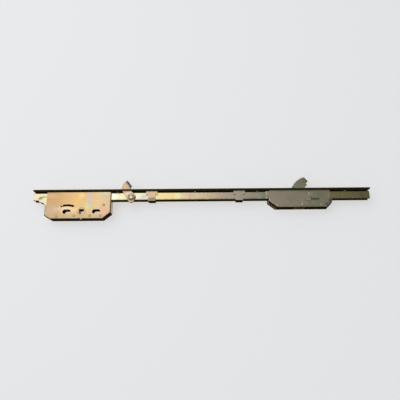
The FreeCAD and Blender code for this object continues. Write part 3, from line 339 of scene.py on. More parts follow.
@dataclass
class SharedEffects:
    """The shader groups: tints, blushes, rolled grain, rubbed edges, and painted shade on cut edges, bent
    walls and insides.
    """

    tint: bpy.types.NodeTree = field(init=False)
    blush: bpy.types.NodeTree = field(init=False)
    grain: bpy.types.NodeTree = field(init=False)
    wear: bpy.types.NodeTree = field(init=False)
    inside: bpy.types.NodeTree = field(init=False)
    edges: dict[Sheet, bpy.types.NodeTree] = field(init=False)

    def __post_init__(self) -> None:
        """Builds the groups once."""
        self.tint = self._passivation_tint()
        self.blush = self._blush()
        self.grain = self._rolled_grain()
        self.wear = self._rubbed_edges()
        self.inside = self._hidden_inside()
        self.edges = {sheet: self._cut_edges(sheet) for sheet in Sheet}

    def _cut_edges(self, sheet: Sheet) -> bpy.types.NodeTree:
        """Builds the mask of painted shade on a sheet's cut edges, bent walls and hidden back, which turns
        them dark and not metallic.

        Args:
            sheet: Which way the broad faces look. A sheet that looks to the front gets painted shade on its
                back.

        Returns:
            The group's tree.
        """
        bright, shaded = EDGE_SHADE_SPAN[sheet]
        tree, entry, leave = new_group(
            f"cut_edges_{sheet.name.lower()}",
            [("Bright", "NodeSocketFloat", bright), ("Dull", "NodeSocketFloat", shaded),
             ("Ends", "NodeSocketFloat", 0.25)],
            [("Mask", "NodeSocketFloat")])
        place = put(tree, "ShaderNodeTexCoord", -4.0, 0)
        parts = put(tree, "ShaderNodeSeparateXYZ", -3.0, 0)
        span = put(tree, "ShaderNodeMapRange", -0.5, 0)
        span.interpolation_type = "SMOOTHSTEP"
        wire(tree, (place, "Normal", parts, "Vector"), (entry, "Bright", span, "From Min"),
             (entry, "Dull", span, "From Max"))
        facing = parts.outputs[sheet.value]
        if sheet is Sheet.TO_COVER:
            facing = maths(tree, -2.0, 0, "ABSOLUTE", facing)
        feed(tree, span.inputs["Value"], facing)
        # Walls that look along the gear get less of the painted shade
        slope = maths(tree, -2.5, -1.5, "ABSOLUTE", parts.outputs["X"])
        endwise = maths(tree, -2.0, -1.5, "POWER", slope, ENDWISE_POWER)
        spared = maths(tree, -1.0, -2.5, "SUBTRACT", 1.0, entry.outputs["Ends"])
        lost = maths(tree, 0.0, -1.5, "MULTIPLY", endwise, spared)
        kept = maths(tree, 1.0, -1.5, "SUBTRACT", 1.0, lost)
        feed(tree, leave.inputs["Mask"], maths(tree, 2.0, 0, "MULTIPLY", span.outputs["Result"], kept))
        return tree

    def _hidden_inside(self) -> bpy.types.NodeTree:
        """Builds the mask of painted shade on what lies inside a channel or a case, close to the gear's
        middle plane.

        Returns:
            The group's tree.
        """
        tree, entry, leave = new_group("hidden_inside", [("Half Height", "NodeSocketFloat", 4.6 * MM)],
                                       [("Mask", "NodeSocketFloat")])
        place = put(tree, "ShaderNodeTexCoord", -4.0, 0)
        parts = put(tree, "ShaderNodeSeparateXYZ", -3.0, 0)
        wire(tree, (place, "Object", parts, "Vector"))
        height = maths(tree, -2.0, 0, "ABSOLUTE", parts.outputs["Z"])
        short = maths(tree, -1.0, 0, "SUBTRACT", entry.outputs["Half Height"], height)
        steep = maths(tree, 0.0, 0, "DIVIDE", short, INSIDE_SHADE_FADE)
        low = maths(tree, 1.0, 0, "MAXIMUM", steep, 0.0)
        feed(tree, leave.inputs["Mask"], maths(tree, 2.0, 0, "MINIMUM", low, 1.0))
        return tree

    def _passivation_tint(self) -> bpy.types.NodeTree:
        """Builds the drifting warm and cool tints of yellow passivation.

        Returns:
            The group's tree.
        """
        tree, entry, leave = new_group(
            "passivation_tint",
            [("Base", "NodeSocketColor", (0.7, 0.6, 0.35, 1.0)),
             ("Warm", "NodeSocketColor", (0.8, 0.5, 0.4, 1.0)),
             ("Cool", "NodeSocketColor", (0.5, 0.6, 0.45, 1.0)),
             ("Spread", "NodeSocketFloat", 40.0),
             ("Amount", "NodeSocketFloat", 0.5)],
            [("Color", "NodeSocketColor"), ("Cloud", "NodeSocketFloat")])
        place = put(tree, "ShaderNodeTexCoord", -3.5, -1)
        drift = put(tree, "ShaderNodeTexNoise", -2.5, 0, Detail=3.0, Roughness=0.55, Distortion=0.6)
        cloud = put(tree, "ShaderNodeTexNoise", -2.5, -2, Detail=5.0, Roughness=0.6, Distortion=1.2)
        wide = maths(tree, -3.5, -3, "MULTIPLY", entry.outputs["Spread"], CLOUDS_TO_PATCHES)
        feed(tree, cloud.inputs["Scale"], wide)
        warm_part = ramp(tree, -1.5, 0, [(0.5, BLACK), (0.66, WHITE)])
        cool_part = ramp(tree, -1.5, -1.5, [(0.34, WHITE), (0.5, BLACK)])
        mottle = ramp(tree, 1.6, -2, [(0.3, (0.93, 0.93, 0.93)), (0.7, (1.04, 1.04, 1.04))])
        wire(tree, (place, "Object", drift, "Vector"), (place, "Object", cloud, "Vector"),
             (entry, "Spread", drift, "Scale"), (drift, "Fac", warm_part, "Fac"),
             (drift, "Fac", cool_part, "Fac"), (cloud, "Fac", mottle, "Fac"), (cloud, "Fac", leave, "Cloud"))
        warm_share = maths(tree, -0.4, 0, "MULTIPLY", warm_part.outputs["Color"], entry.outputs["Amount"])
        cool_share = maths(tree, -0.4, -1, "MULTIPLY", cool_part.outputs["Color"], entry.outputs["Amount"])
        warmed = mix(tree, 0.6, 0, "MIX", warm_share, entry.outputs["Base"], entry.outputs["Warm"])
        cooled = mix(tree, 1.6, 0, "MIX", cool_share, warmed, entry.outputs["Cool"])
        final = mix(tree, 2.8, 0, "MULTIPLY", 1.0, cooled, mottle.outputs["Color"])
        feed(tree, leave.inputs["Color"], final)
        return tree

    def _blush(self) -> bpy.types.NodeTree:
        """Builds the mask of one soft patch, whose rim wanders a little.

        Returns:
            The group's tree.
        """
        tree, entry, leave = new_group(
            "blush",
            [("Middle", "NodeSocketVector", (0.0, 0.0, 0.0)), ("Size", "NodeSocketVector", (1.0, 1.0, 1.0)),
             ("Strength", "NodeSocketFloat", 1.0)],
            [("Mask", "NodeSocketFloat")])
        place = put(tree, "ShaderNodeTexCoord", -3.5, 0)
        wander = put(tree, "ShaderNodeTexNoise", -2.6, -1.5, Scale=160.0, Detail=3.0, Roughness=0.5)
        wire(tree, (place, "Object", wander, "Vector"))
        offset = vector_maths(tree, -2.6, 0, "SUBTRACT", place.outputs["Object"], entry.outputs["Middle"])
        shares = vector_maths(tree, -1.8, 0, "DIVIDE", offset, entry.outputs["Size"])
        reach = put(tree, "ShaderNodeVectorMath", -1.0, 0)
        reach.operation = "LENGTH"
        feed(tree, reach.inputs[0], shares)
        swing = maths(tree, -1.0, -1.5, "MULTIPLY", wander.outputs["Fac"], RIM_SWING)
        uneven = maths(tree, -0.2, -1, "ADD", reach.outputs["Value"], swing)
        span = put(tree, "ShaderNodeMapRange", 0.6, 0, From_Min=RIM_START, From_Max=RIM_FULL)
        span.interpolation_type = "SMOOTHSTEP"
        feed(tree, span.inputs["Value"], uneven)
        mask = maths(tree, 1.6, 0, "MULTIPLY", span.outputs["Result"], entry.outputs["Strength"])
        feed(tree, leave.inputs["Mask"], mask)
        return tree

    def _rolled_grain(self) -> bpy.types.NodeTree:
        """Builds the fine lines that rolling and handling leave along a strip.

        Returns:
            The group's tree.
        """
        tree, entry, leave = new_group(
            "rolled_grain",
            [("Across", "NodeSocketFloat", 900.0), ("Along", "NodeSocketFloat", 30.0)],
            [("Lines", "NodeSocketFloat"), ("Height", "NodeSocketFloat")])
        place = put(tree, "ShaderNodeTexCoord", -3.5, 0)
        parts = put(tree, "ShaderNodeSeparateXYZ", -2.6, 0)
        joined = put(tree, "ShaderNodeCombineXYZ", -0.8, 0)
        for row, (name, size) in enumerate((("X", "Along"), ("Y", "Across"), ("Z", "Across"))):
            scaled = maths(tree, -1.7, row - 1.0, "MULTIPLY", parts.outputs[name], entry.outputs[size])
            feed(tree, joined.inputs[name], scaled)
        lines = put(tree, "ShaderNodeTexNoise", 0.2, 0, Scale=1.0, Detail=4.0, Roughness=0.7)
        pits = put(tree, "ShaderNodeTexNoise", 0.2, -1.5, Scale=1400.0, Detail=2.0, Roughness=0.5)
        wire(tree, (place, "Object", parts, "Vector"), (joined, "Vector", lines, "Vector"),
             (place, "Object", pits, "Vector"), (lines, "Fac", leave, "Lines"))
        height = maths(tree, 1.4, -1, "ADD", lines.outputs["Fac"], pits.outputs["Fac"])
        feed(tree, leave.inputs["Height"], height)
        return tree

    def _rubbed_edges(self) -> bpy.types.NodeTree:
        """Builds the mask of the sheet's softened edges that rubbing has brightened.

        Returns:
            The group's tree.
        """
        tree, entry, leave = new_group(
            "rubbed_edges",
            [("Strength", "NodeSocketFloat", 0.7), ("Patch Scale", "NodeSocketFloat", 220.0)],
            [("Mask", "NodeSocketFloat")])
        place = put(tree, "ShaderNodeTexCoord", -4.5, 0)
        size = put(tree, "ShaderNodeVectorMath", -3.5, 0.5)
        size.operation = "ABSOLUTE"
        parts = put(tree, "ShaderNodeSeparateXYZ", -2.7, 0.5)
        patch = put(tree, "ShaderNodeTexNoise", -2.5, -1, Detail=4.0, Roughness=0.65)
        feed(tree, size.inputs[0], place.outputs["Normal"])
        widest = maths(tree, -1.8, 0.5, "MAXIMUM", parts.outputs["Y"], parts.outputs["Z"])
        rising = put(tree, "ShaderNodeMapRange", -0.8, 1.2, From_Min=0.995, From_Max=0.95)
        falling = put(tree, "ShaderNodeMapRange", -0.8, -0.2, From_Min=0.72, From_Max=0.82)
        for span in (rising, falling):
            feed(tree, span.inputs["Value"], widest)
        sloped = maths(tree, 0.2, 0.5, "MULTIPLY", rising.outputs["Result"], falling.outputs["Result"])
        broken = ramp(tree, -1.3, -1.6, [(0.4, BLACK), (0.62, WHITE)])
        wire(tree, (size, "Vector", parts, "Vector"), (place, "Object", patch, "Vector"),
             (entry, "Patch Scale", patch, "Scale"), (patch, "Fac", broken, "Fac"))
        worn = maths(tree, 1.0, 0, "MULTIPLY", sloped, broken.outputs["Color"])
        feed(tree, leave.inputs["Mask"], maths(tree, 2.0, 0, "MULTIPLY", worn, entry.outputs["Strength"]))
        return tree


# Finishes

ROUGHNESS_SWING = 0.22
BUMP_STRENGTH = 0.5


@dataclass(frozen=True)
class Blush:
    """A soft patch of another colour; some are tints of the passivation, others painted highlights and
    painted shade.

    Attributes:
        middle: X and Y of its middle, in millimetres.
        size: Half its length along X and along Y, in millimetres.
        color: Its colour.
        strength: Share of the colour at its middle.
    """

    middle: Spot
    size: Spot
    color: Color
    strength: float = 0.6


@dataclass(frozen=True)
class ZincFinish:
    """Yellow passivated zinc on steel.

    Attributes:
        name: Name of the material.
        base: Main colour.
        warm: Colour of the warm patches.
        cool: Colour of the cool patches.
        amount: Strength of the patches.
        spread: How many patches there are to a metre.
        roughness: Mean roughness.
        grain: Height of the rolled lines, in metres.
        worn: Colour of rubbed edges.
        sheet: Which way the piece's broad faces look.
        edge: Colour of the painted shade on cut edges, bent walls, backs and insides.
        ends: How much painted shade the cut edges get that look along the gear, as a share.
        inside: Half height of the painted shade inside, in millimetres, or 0 where there is none.
        along: Stops of a colour change along the gear, from its left end to its right end; its brightness is
            partly painted reflection.
        blushes: Patches of another tint, and patches of painted highlight and painted shade.
    """

    name: str
    base: Color
    warm: Color
    cool: Color
    amount: float = 0.5
    spread: float = 40.0
    roughness: float = 0.34
    grain: float = 0.00001
    worn: Color = (0.82, 0.8, 0.74)
    sheet: Sheet = Sheet.TO_COVER
    # Dark colour of the painted shade on edges, walls, backs and insides
    edge: Color = (0.03, 0.019, 0.005)
    ends: float = 0.25
    inside: float = 0.0
    along: tuple[Stop, ...] = ()
    blushes: tuple[Blush, ...] = ()

    def material(self, effects: SharedEffects) -> bpy.types.Material:
        """Builds the material.

        Args:
            effects: The shared shader groups.

        Returns:
            The new material.
        """
        made = bpy.data.materials.new(self.name)
        made.use_nodes = True
        tree = made.node_tree
        shader = tree.nodes["Principled BSDF"]
        shader.inputs["Specular IOR Level"].default_value = 0.0
        tint = use_group(tree, effects.tint, -7.0, 1.0, Base=(*self.base, 1.0), Warm=(*self.warm, 1.0),
                         Cool=(*self.cool, 1.0), Spread=self.spread, Amount=self.amount)
        grain = use_group(tree, effects.grain, -7.0, -1.0)
        plating = self._plating(tree, effects, tint.outputs["Color"], grain.outputs["Lines"])
        # Painted shade turns cut edges, walls, backs and insides to the edge colour and makes them not
        # metallic
        shaded = self._dullness(tree, effects)
        feed(tree, shader.inputs["Base Color"], mix(tree, 0.0, 1.0, "MIX", shaded, plating, self.edge))
        feed(tree, shader.inputs["Metallic"], maths(tree, -1.0, 3.0, "SUBTRACT", 1.0, shaded))
        uneven = maths(tree, -2.0, -2.0, "MULTIPLY", tint.outputs["Cloud"], ROUGHNESS_SWING)
        rough = maths(tree, -1.0, -2.0, "ADD", uneven, self.roughness - ROUGHNESS_SWING / 2)
        feed(tree, shader.inputs["Roughness"], rough)
        bump = put(tree, "ShaderNodeBump", -1.0, -3.0, Strength=BUMP_STRENGTH, Distance=self.grain)
        wire(tree, (grain, "Height", bump, "Height"), (bump, "Normal", shader, "Normal"))
        return made

    def _plating(self, tree: bpy.types.NodeTree, effects: SharedEffects, color: bpy.types.NodeSocket,
                 lines: bpy.types.NodeSocket) -> bpy.types.NodeSocket:
        """Works out the colour of the bright plating.

        Args:
            tree: The material's tree.
            effects: The shared shader groups.
            color: The drifting tint that it starts from.
            lines: The rolled lines.

        Returns:
            The plating's colour.
        """
        # The change along the gear is partly painted reflection, and some blushes are painted highlights and
        # painted shade
        if self.along:
            color = mix(tree, -3.0, 1.0, "MULTIPLY", 1.0, color, self._change_along(tree))
        for row, blush in enumerate(self.blushes):
            color = self._add_blush(tree, effects, row, blush, color)
        shade = ramp(tree, -3.0, -1.0, [(0.3, (0.95, 0.95, 0.95)), (0.7, (1.03, 1.03, 1.03))])
        feed(tree, shade.inputs["Fac"], lines)
        lined = mix(tree, -2.0, 1.0, "MULTIPLY", 1.0, color, shade.outputs["Color"])
        wear = use_group(tree, effects.wear, -2.0, 2.0)
        return mix(tree, -1.0, 1.0, "MIX", wear.outputs["Mask"], lined, self.worn)

    def _dullness(self, tree: bpy.types.NodeTree, effects: SharedEffects) -> bpy.types.NodeSocket:
        """Works out where painted shade lies: on cut edges, bent walls, backs and inside.

        Args:
            tree: The material's tree.
            effects: The shared shader groups.

        Returns:
            The mask.
        """
        edge_shade = use_group(tree, effects.edges[self.sheet], -3.0, 3.5, Ends=self.ends)
        if not self.inside:
            return edge_shade.outputs["Mask"]
        dark = use_group(tree, effects.inside, -3.0, 4.5, Half_Height=self.inside * MM)
        return maths(tree, -1.5, 3.5, "MAXIMUM", edge_shade.outputs["Mask"], dark.outputs["Mask"])

    def _add_blush(self, tree: bpy.types.NodeTree, effects: SharedEffects, row: int, blush: Blush,
                   color: bpy.types.NodeSocket) -> bpy.types.NodeSocket:
        """Lays one blush over a colour.

        Args:
            tree: The material's tree.
            effects: The shared shader groups.
            row: Number of the blush, for its place in the editor.
            blush: The patch.
            color: The colour below it.

        Returns:
            The new colour's socket.
        """
        patch = use_group(tree, effects.blush, -4.5, 2.5 + row, Strength=blush.strength,
                          Middle=(blush.middle[0] * MM, blush.middle[1] * MM, 0.0),
                          Size=(blush.size[0] * MM, blush.size[1] * MM, 1.0))
        return mix(tree, -3.6, 2.0 + row, "MIX", patch.outputs["Mask"], color, blush.color)

    def _change_along(self, tree: bpy.types.NodeTree) -> bpy.types.NodeSocket:
        """Adds the slow change of colour along the gear, whose brightness is partly a painted fall-off of
        reflected light.

        Args:
            tree: The material's tree.

        Returns:
            The colour's socket.
        """
        low, high = CAD_BOX
        place = put(tree, "ShaderNodeTexCoord", -6.5, 2.0)
        parts = put(tree, "ShaderNodeSeparateXYZ", -5.6, 2.0)
        span = put(tree, "ShaderNodeMapRange", -4.8, 2.0, From_Min=low[0], From_Max=high[0])
        change = ramp(tree, -4.0, 2.0, self.along)
        wire(tree, (place, "Object", parts, "Vector"), (parts, "X", span, "Value"),
             (span, "Result", change, "Fac"))
        return change.outputs["Color"]


# Tints of the passivation, a painted highlight and a painted shade

LILAC = (0.6, 0.52, 0.56)
PINK = (0.8, 0.44, 0.32)
GREENISH = (0.66, 0.68, 0.36)
MAUVE = (0.62, 0.46, 0.4)
OLIVE = (0.52, 0.55, 0.32)
# Pale cream, for painted highlights
PAINTED_HIGHLIGHT = (0.92, 0.74, 0.52)
# Near black, for painted shade and painted shadows
PAINTED_SHADE = (0.12, 0.09, 0.05)


# Finishes of the pieces, whose blushes lie where the photograph shows another tone: some are tints, others
# painted highlights and painted shade, as noted at each

GEARBOX_ZINC = ZincFinish(
    "gearbox_zinc", base=(0.76, 0.52, 0.26), warm=(0.78, 0.45, 0.28), cool=(0.68, 0.55, 0.3),
    amount=0.4, spread=38.0, roughness=0.36, ends=0.05,
    # The change along the gear is partly painted reflection: darker at the gearbox's left end, brighter
    # towards its right
    along=((0.03, (0.74, 0.74, 0.66)), (0.07, (0.8, 0.77, 0.68)), (0.1, (0.95, 0.89, 0.8)),
           (0.13, (1.02, 0.97, 0.86)), (0.17, (1.0, 1.04, 1.0)), (0.2, (1.04, 1.08, 1.15)),
           (0.23, (0.92, 0.98, 1.1))),
    # The first blush darkens the plate along its lower part
    blushes=(Blush((-5.0, -9.0), (60.0, 6.0), (0.5, 0.37, 0.25), 0.6),
             Blush((11.0, 20.0), (3.5, 13.0), LILAC, 0.95), Blush((31.0, 3.0), (8.0, 7.0), PINK, 0.75),
             Blush((-46.0, 24.0), (10.0, 4.0), PINK, 0.7), Blush((-44.0, 2.0), (14.0, 9.0), MAUVE, 0.5),
             Blush((33.0, 28.0), (10.0, 3.5), GREENISH, 1.0), Blush((6.0, 8.5), (4.5, 6.0), GREENISH, 0.7),
             # The pale blush at (-21.5, 4) is a painted highlight around the slots
             Blush((31.6, 23.5), (4.0, 4.0), LILAC, 0.85), Blush((-21.5, 4.0), (14.0, 6.0), PAINTED_HIGHLIGHT, 0.7),
             Blush((-1.5, 24.0), (5.0, 6.0), (0.9, 0.68, 0.28), 0.7),
             Blush((-7.0, 16.0), (7.0, 9.0), (0.9, 0.54, 0.2), 0.55),
             # The last blush is painted shade on the lower wall
             Blush((-2.7, -12.0), (4.5, 2.4), PAINTED_SHADE, 1.0)))
# The base also gets painted shade inside the case
GEARBOX_BASE_ZINC = replace(GEARBOX_ZINC, name="gearbox_base_zinc", inside=5.6)
HOOK_CASE_ZINC = ZincFinish(
    "hook_case_zinc", base=(0.7, 0.59, 0.41), warm=(0.72, 0.54, 0.39), cool=(0.58, 0.59, 0.41),
    amount=0.4, spread=42.0, roughness=0.36,
    blushes=(Blush((284.0, 20.0), (12.0, 9.0), (0.74, 0.56, 0.48), 0.6),
             Blush((345.0, 18.0), (16.0, 14.0), OLIVE, 0.6),
             Blush((308.0, 29.5), (24.0, 2.5), (0.52, 0.66, 0.46), 0.6),
             # The dark olive blush darkens the case's left end
             Blush((269.3, 22.0), (4.6, 12.0), (0.26, 0.32, 0.13), 1.0),
             # The pale blushes at the left chamfer are painted highlights, the dark ones at the right
             # chamfer painted shade
             Blush((271.5, 8.0), (2.6, 2.6), PAINTED_HIGHLIGHT, 0.7), Blush((276.0, 4.0), (2.6, 2.6), PAINTED_HIGHLIGHT, 0.7),
             Blush((363.0, 12.0), (3.0, 5.0), PAINTED_SHADE, 0.8), Blush((359.0, 7.0), (3.5, 4.0), PAINTED_SHADE, 0.8)))
RAIL_ZINC = ZincFinish(
    "rail_zinc", base=(0.8, 0.72, 0.5), warm=(0.82, 0.64, 0.42), cool=(0.7, 0.72, 0.5),
    # The rail gets painted shade inside its channel
    amount=0.4, spread=22.0, roughness=0.28, edge=(0.045, 0.03, 0.004), inside=4.6,
    # The change along the rail is partly painted reflection: brightest left of the middle, darker towards
    # the right end
    along=((0.0, (0.95, 0.95, 0.9)), (0.24, (1.1, 1.1, 0.95)), (0.33, (1.0, 1.02, 0.9)),
           (0.38, (1.14, 1.0, 0.66)), (0.42, (1.14, 0.96, 0.68)), (0.46, (1.05, 0.96, 0.8)),
           (0.52, (1.0, 0.86, 0.8)), (0.58, (0.94, 0.85, 0.9)), (0.66, (0.94, 0.94, 1.0)),
           (0.92, (0.8, 0.78, 0.52)), (1.0, (0.62, 0.58, 0.42))),
    # This near-white blush is a painted highlight
    blushes=(Blush((47.5, 22.5), (4.5, 7.0), (0.95, 0.95, 0.85), 0.8),
             Blush((81.0, 23.0), (6.0, 7.0), (0.9, 0.74, 0.66), 0.9),
             Blush((86.5, 26.6), (7.0, 3.2), (0.8, 0.85, 0.36), 0.95),
             Blush((90.0, 22.3), (6.0, 3.5), (0.44, 0.54, 0.7), 1.0),
             Blush((140.0, 23.0), (5.0, 6.0), (0.85, 0.85, 0.46), 0.9),
             Blush((158.0, 24.0), (12.0, 6.0), (0.74, 0.5, 0.4), 0.7),
             # The long dark band is painted shade along the rail's lower edge; the last blush is a painted
             # shadow on its top edge beside the swing hook
             Blush((175.0, 16.8), (320.0, 2.4), (0.3, 0.26, 0.14), 0.75),
             Blush((51.5, 28.5), (10.0, 1.9), PAINTED_SHADE, 0.9)))
RACK_ZINC = replace(
    RAIL_ZINC, name="rack_zinc",
    # Both blushes are painted shadow around the rack's eye in the rail's notch
    blushes=(Blush((-62.0, 20.8), (3.6, 2.6), (0.24, 0.2, 0.09), 0.95),
             Blush((-57.5, 22.4), (5.5, 1.8), (0.36, 0.28, 0.16), 0.95)))
FACEPLATE_ZINC = ZincFinish(
    "faceplate_zinc", base=(0.7, 0.6, 0.36), warm=(0.72, 0.5, 0.36), cool=(0.56, 0.6, 0.4),
    # Its back and its cut edges get painted shade
    amount=0.5, spread=16.0, roughness=0.33, sheet=Sheet.TO_FRONT, edge=(0.045, 0.035, 0.014), ends=1.0)
HOOK_ZINC = ZincFinish(
    "hook_zinc", base=(0.56, 0.55, 0.37), warm=(0.6, 0.54, 0.38), cool=(0.48, 0.54, 0.34),
    amount=0.5, spread=60.0, roughness=0.38,
    # The olive-yellow blush is a painted highlight on the beak, the next one painted shade on its right edge
    blushes=(Blush((328.5, 46.5), (4.5, 5.0), (0.56, 0.48, 0.1), 0.95),
             Blush((333.0, 43.5), (2.5, 5.0), PAINTED_SHADE, 0.6),
             Blush((313.5, 37.5), (7.0, 5.0), (0.6, 0.6, 0.5), 0.6)))
SWING_HOOK_ZINC = ZincFinish(
    "swing_hook_zinc", base=(0.62, 0.44, 0.27), warm=(0.66, 0.4, 0.27), cool=(0.54, 0.46, 0.29),
    amount=0.4, spread=60.0, roughness=0.38, ends=1.0,
    blushes=(Blush((63.0, 37.5), (4.0, 5.0), (0.8, 0.56, 0.34), 0.7),
             # Painted light: a highlight on the body, a shadow below the faceplate, shade on the head's top
             # and right side and around the eye
             Blush((68.0, 25.0), (7.0, 5.5), (0.95, 0.82, 0.6), 0.8),
             Blush((66.0, 31.0), (9.0, 2.8), (0.3, 0.24, 0.15), 0.8),
             Blush((67.5, 43.5), (4.0, 4.0), (0.2, 0.2, 0.17), 1.0),
             Blush((70.5, 38.5), (3.0, 5.0), (0.26, 0.25, 0.2), 0.9),
             Blush((71.8, 20.6), (6.0, 6.0), (0.07, 0.05, 0.03), 1.0)))
CLIP_ZINC = ZincFinish(
    "clip_zinc", base=(0.74, 0.56, 0.36), warm=(0.78, 0.5, 0.34), cool=(0.63, 0.56, 0.38),
    amount=0.5, spread=60.0, roughness=0.36,
    blushes=(Blush((97.5, 26.0), (4.0, 4.0), (0.78, 0.46, 0.36), 0.9),
             Blush((106.5, 27.5), (6.0, 3.2), (0.8, 0.58, 0.2), 1.0),
             # The dark blush is painted shade along the clip's lower edge
             Blush((103.0, 18.2), (8.0, 3.0), (0.2, 0.19, 0.13), 0.85)))
CLIP_ZINC_RIGHT = replace(CLIP_ZINC, name="clip_zinc_right", base=(0.7, 0.62, 0.46),
                          warm=(0.74, 0.58, 0.46), cool=(0.62, 0.62, 0.44), blushes=())
RIVET_STEEL = ZincFinish(
    "rivet_steel", base=(0.88, 0.82, 0.64), warm=(0.84, 0.72, 0.54), cool=(0.74, 0.74, 0.58),
    amount=0.4, spread=120.0, roughness=0.27)
SWING_RIVET_STEEL = replace(RIVET_STEEL, name="swing_rivet_steel", base=(0.8, 0.66, 0.48),
                            warm=(0.76, 0.6, 0.44), cool=(0.68, 0.62, 0.46), roughness=0.36)
PILLAR_ZINC = ZincFinish(
    "pillar_zinc", base=(0.5, 0.36, 0.2), warm=(0.5, 0.32, 0.2), cool=(0.42, 0.36, 0.2),
    amount=0.4, spread=120.0, roughness=0.4)
FOLLOWER_ZINC = ZincFinish(
    "follower_zinc", base=(0.7, 0.5, 0.27), warm=(0.7, 0.44, 0.28), cool=(0.6, 0.5, 0.3),
    amount=0.4, spread=80.0, roughness=0.42)
SPRING_STEEL = ZincFinish("spring_steel", base=(0.5, 0.5, 0.5), warm=(0.5, 0.46, 0.42),
                          cool=(0.44, 0.46, 0.5), amount=0.3, spread=60.0, roughness=0.3)


# Meshes

DOUBLES = 0.002 * MM
FLAT = math.radians(0.4)
SHARP = math.radians(30.0)
EDGE_SEGMENTS = 2
ROLLED_SEGMENTS = 5
HEAD_HEIGHT = 0.3 * MM

# The faceplate's edges that run from end to end are longer than this
LONG_EDGE = 400 * MM

# A softened corner lies at most this share of the rounding's width off the old surface
SPIKE = 0.6


def body_of(node: str) -> str:
    """Finds the body that a node rides on.

    Args:
        node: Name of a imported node.

    Returns:
        The body's name.
    """
    return str(frame["nodes"][node]["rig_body"])


def add_object(name: str, data: bpy.types.ID) -> bpy.types.Object:
    """Adds a mesh, lamp or camera to the scene as an object at the origin.

    Args:
        name: Name of the object.
        data: Its mesh, lamp or camera.

    Returns:
        The new object.
    """
    made = bpy.data.objects.new(name, data)
    bpy.context.scene.collection.objects.link(made)
    return made


def settle(made: bpy.types.Object) -> bpy.types.Object:
    """Applies an object's modifiers, so that only a plain mesh is left.

    Args:
        made: The object.

    Returns:
        The same object with its finished mesh.
    """
    bpy.context.view_layer.update()
    graph = bpy.context.evaluated_depsgraph_get()
    finished = bpy.data.meshes.new_from_object(made.evaluated_get(graph))
    finished.name = made.name
    made.modifiers.clear()
    made.data = finished
    return made


def soften(node: str, width: float, rolled: float = 0.0) -> bpy.types.Object:
    """Makes a copy of a node with small rounded edges, as tumbled and plated steel has.

    Args:
        node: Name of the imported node.
        width: Width of the rounding, in metres.
        rolled: Width of the rounding of the long edges, in metres, or 0 where they are as the others.

    Returns:
        The new object, which replaces the node.
    """
    work = bmesh.new()
    work.from_mesh(frame["nodes"][node].data)
    bmesh.ops.remove_doubles(work, verts=work.verts, dist=DOUBLES)
    bmesh.ops.dissolve_limit(work, angle_limit=FLAT, verts=work.verts, edges=work.edges)
    if rolled:
        long_edges = [edge for edge in work.edges if edge.calc_length() > LONG_EDGE]
        bmesh.ops.bevel(work, geom=long_edges, offset=rolled, segments=ROLLED_SEGMENTS, profile=0.5,
                        affect="EDGES")
    for face in work.faces:
        face.smooth = True
    surface = BVHTree.FromBMesh(work)
    mesh = bpy.data.meshes.new(f"{node}_dressed")
    work.to_mesh(mesh)
    work.free()
    made = add_object(f"{node}_dressed", mesh)
    bevel = made.modifiers.new("edges", "BEVEL")
    bevel.width = width
    bevel.segments = EDGE_SEGMENTS
    bevel.limit_method = "ANGLE"
    bevel.angle_limit = SHARP
    bevel.use_clamp_overlap = False
    bevel.miter_outer = "MITER_ARC"
    settle(made)
    for point in made.data.vertices:
        nearest, _, _, distance = surface.find_nearest(point.co)
        if distance > SPIKE * width:
            point.co = nearest
    weighted = made.modifiers.new("normals", "WEIGHTED_NORMAL")
    weighted.weight = 100
    weighted.keep_sharp = True
    return settle(made)


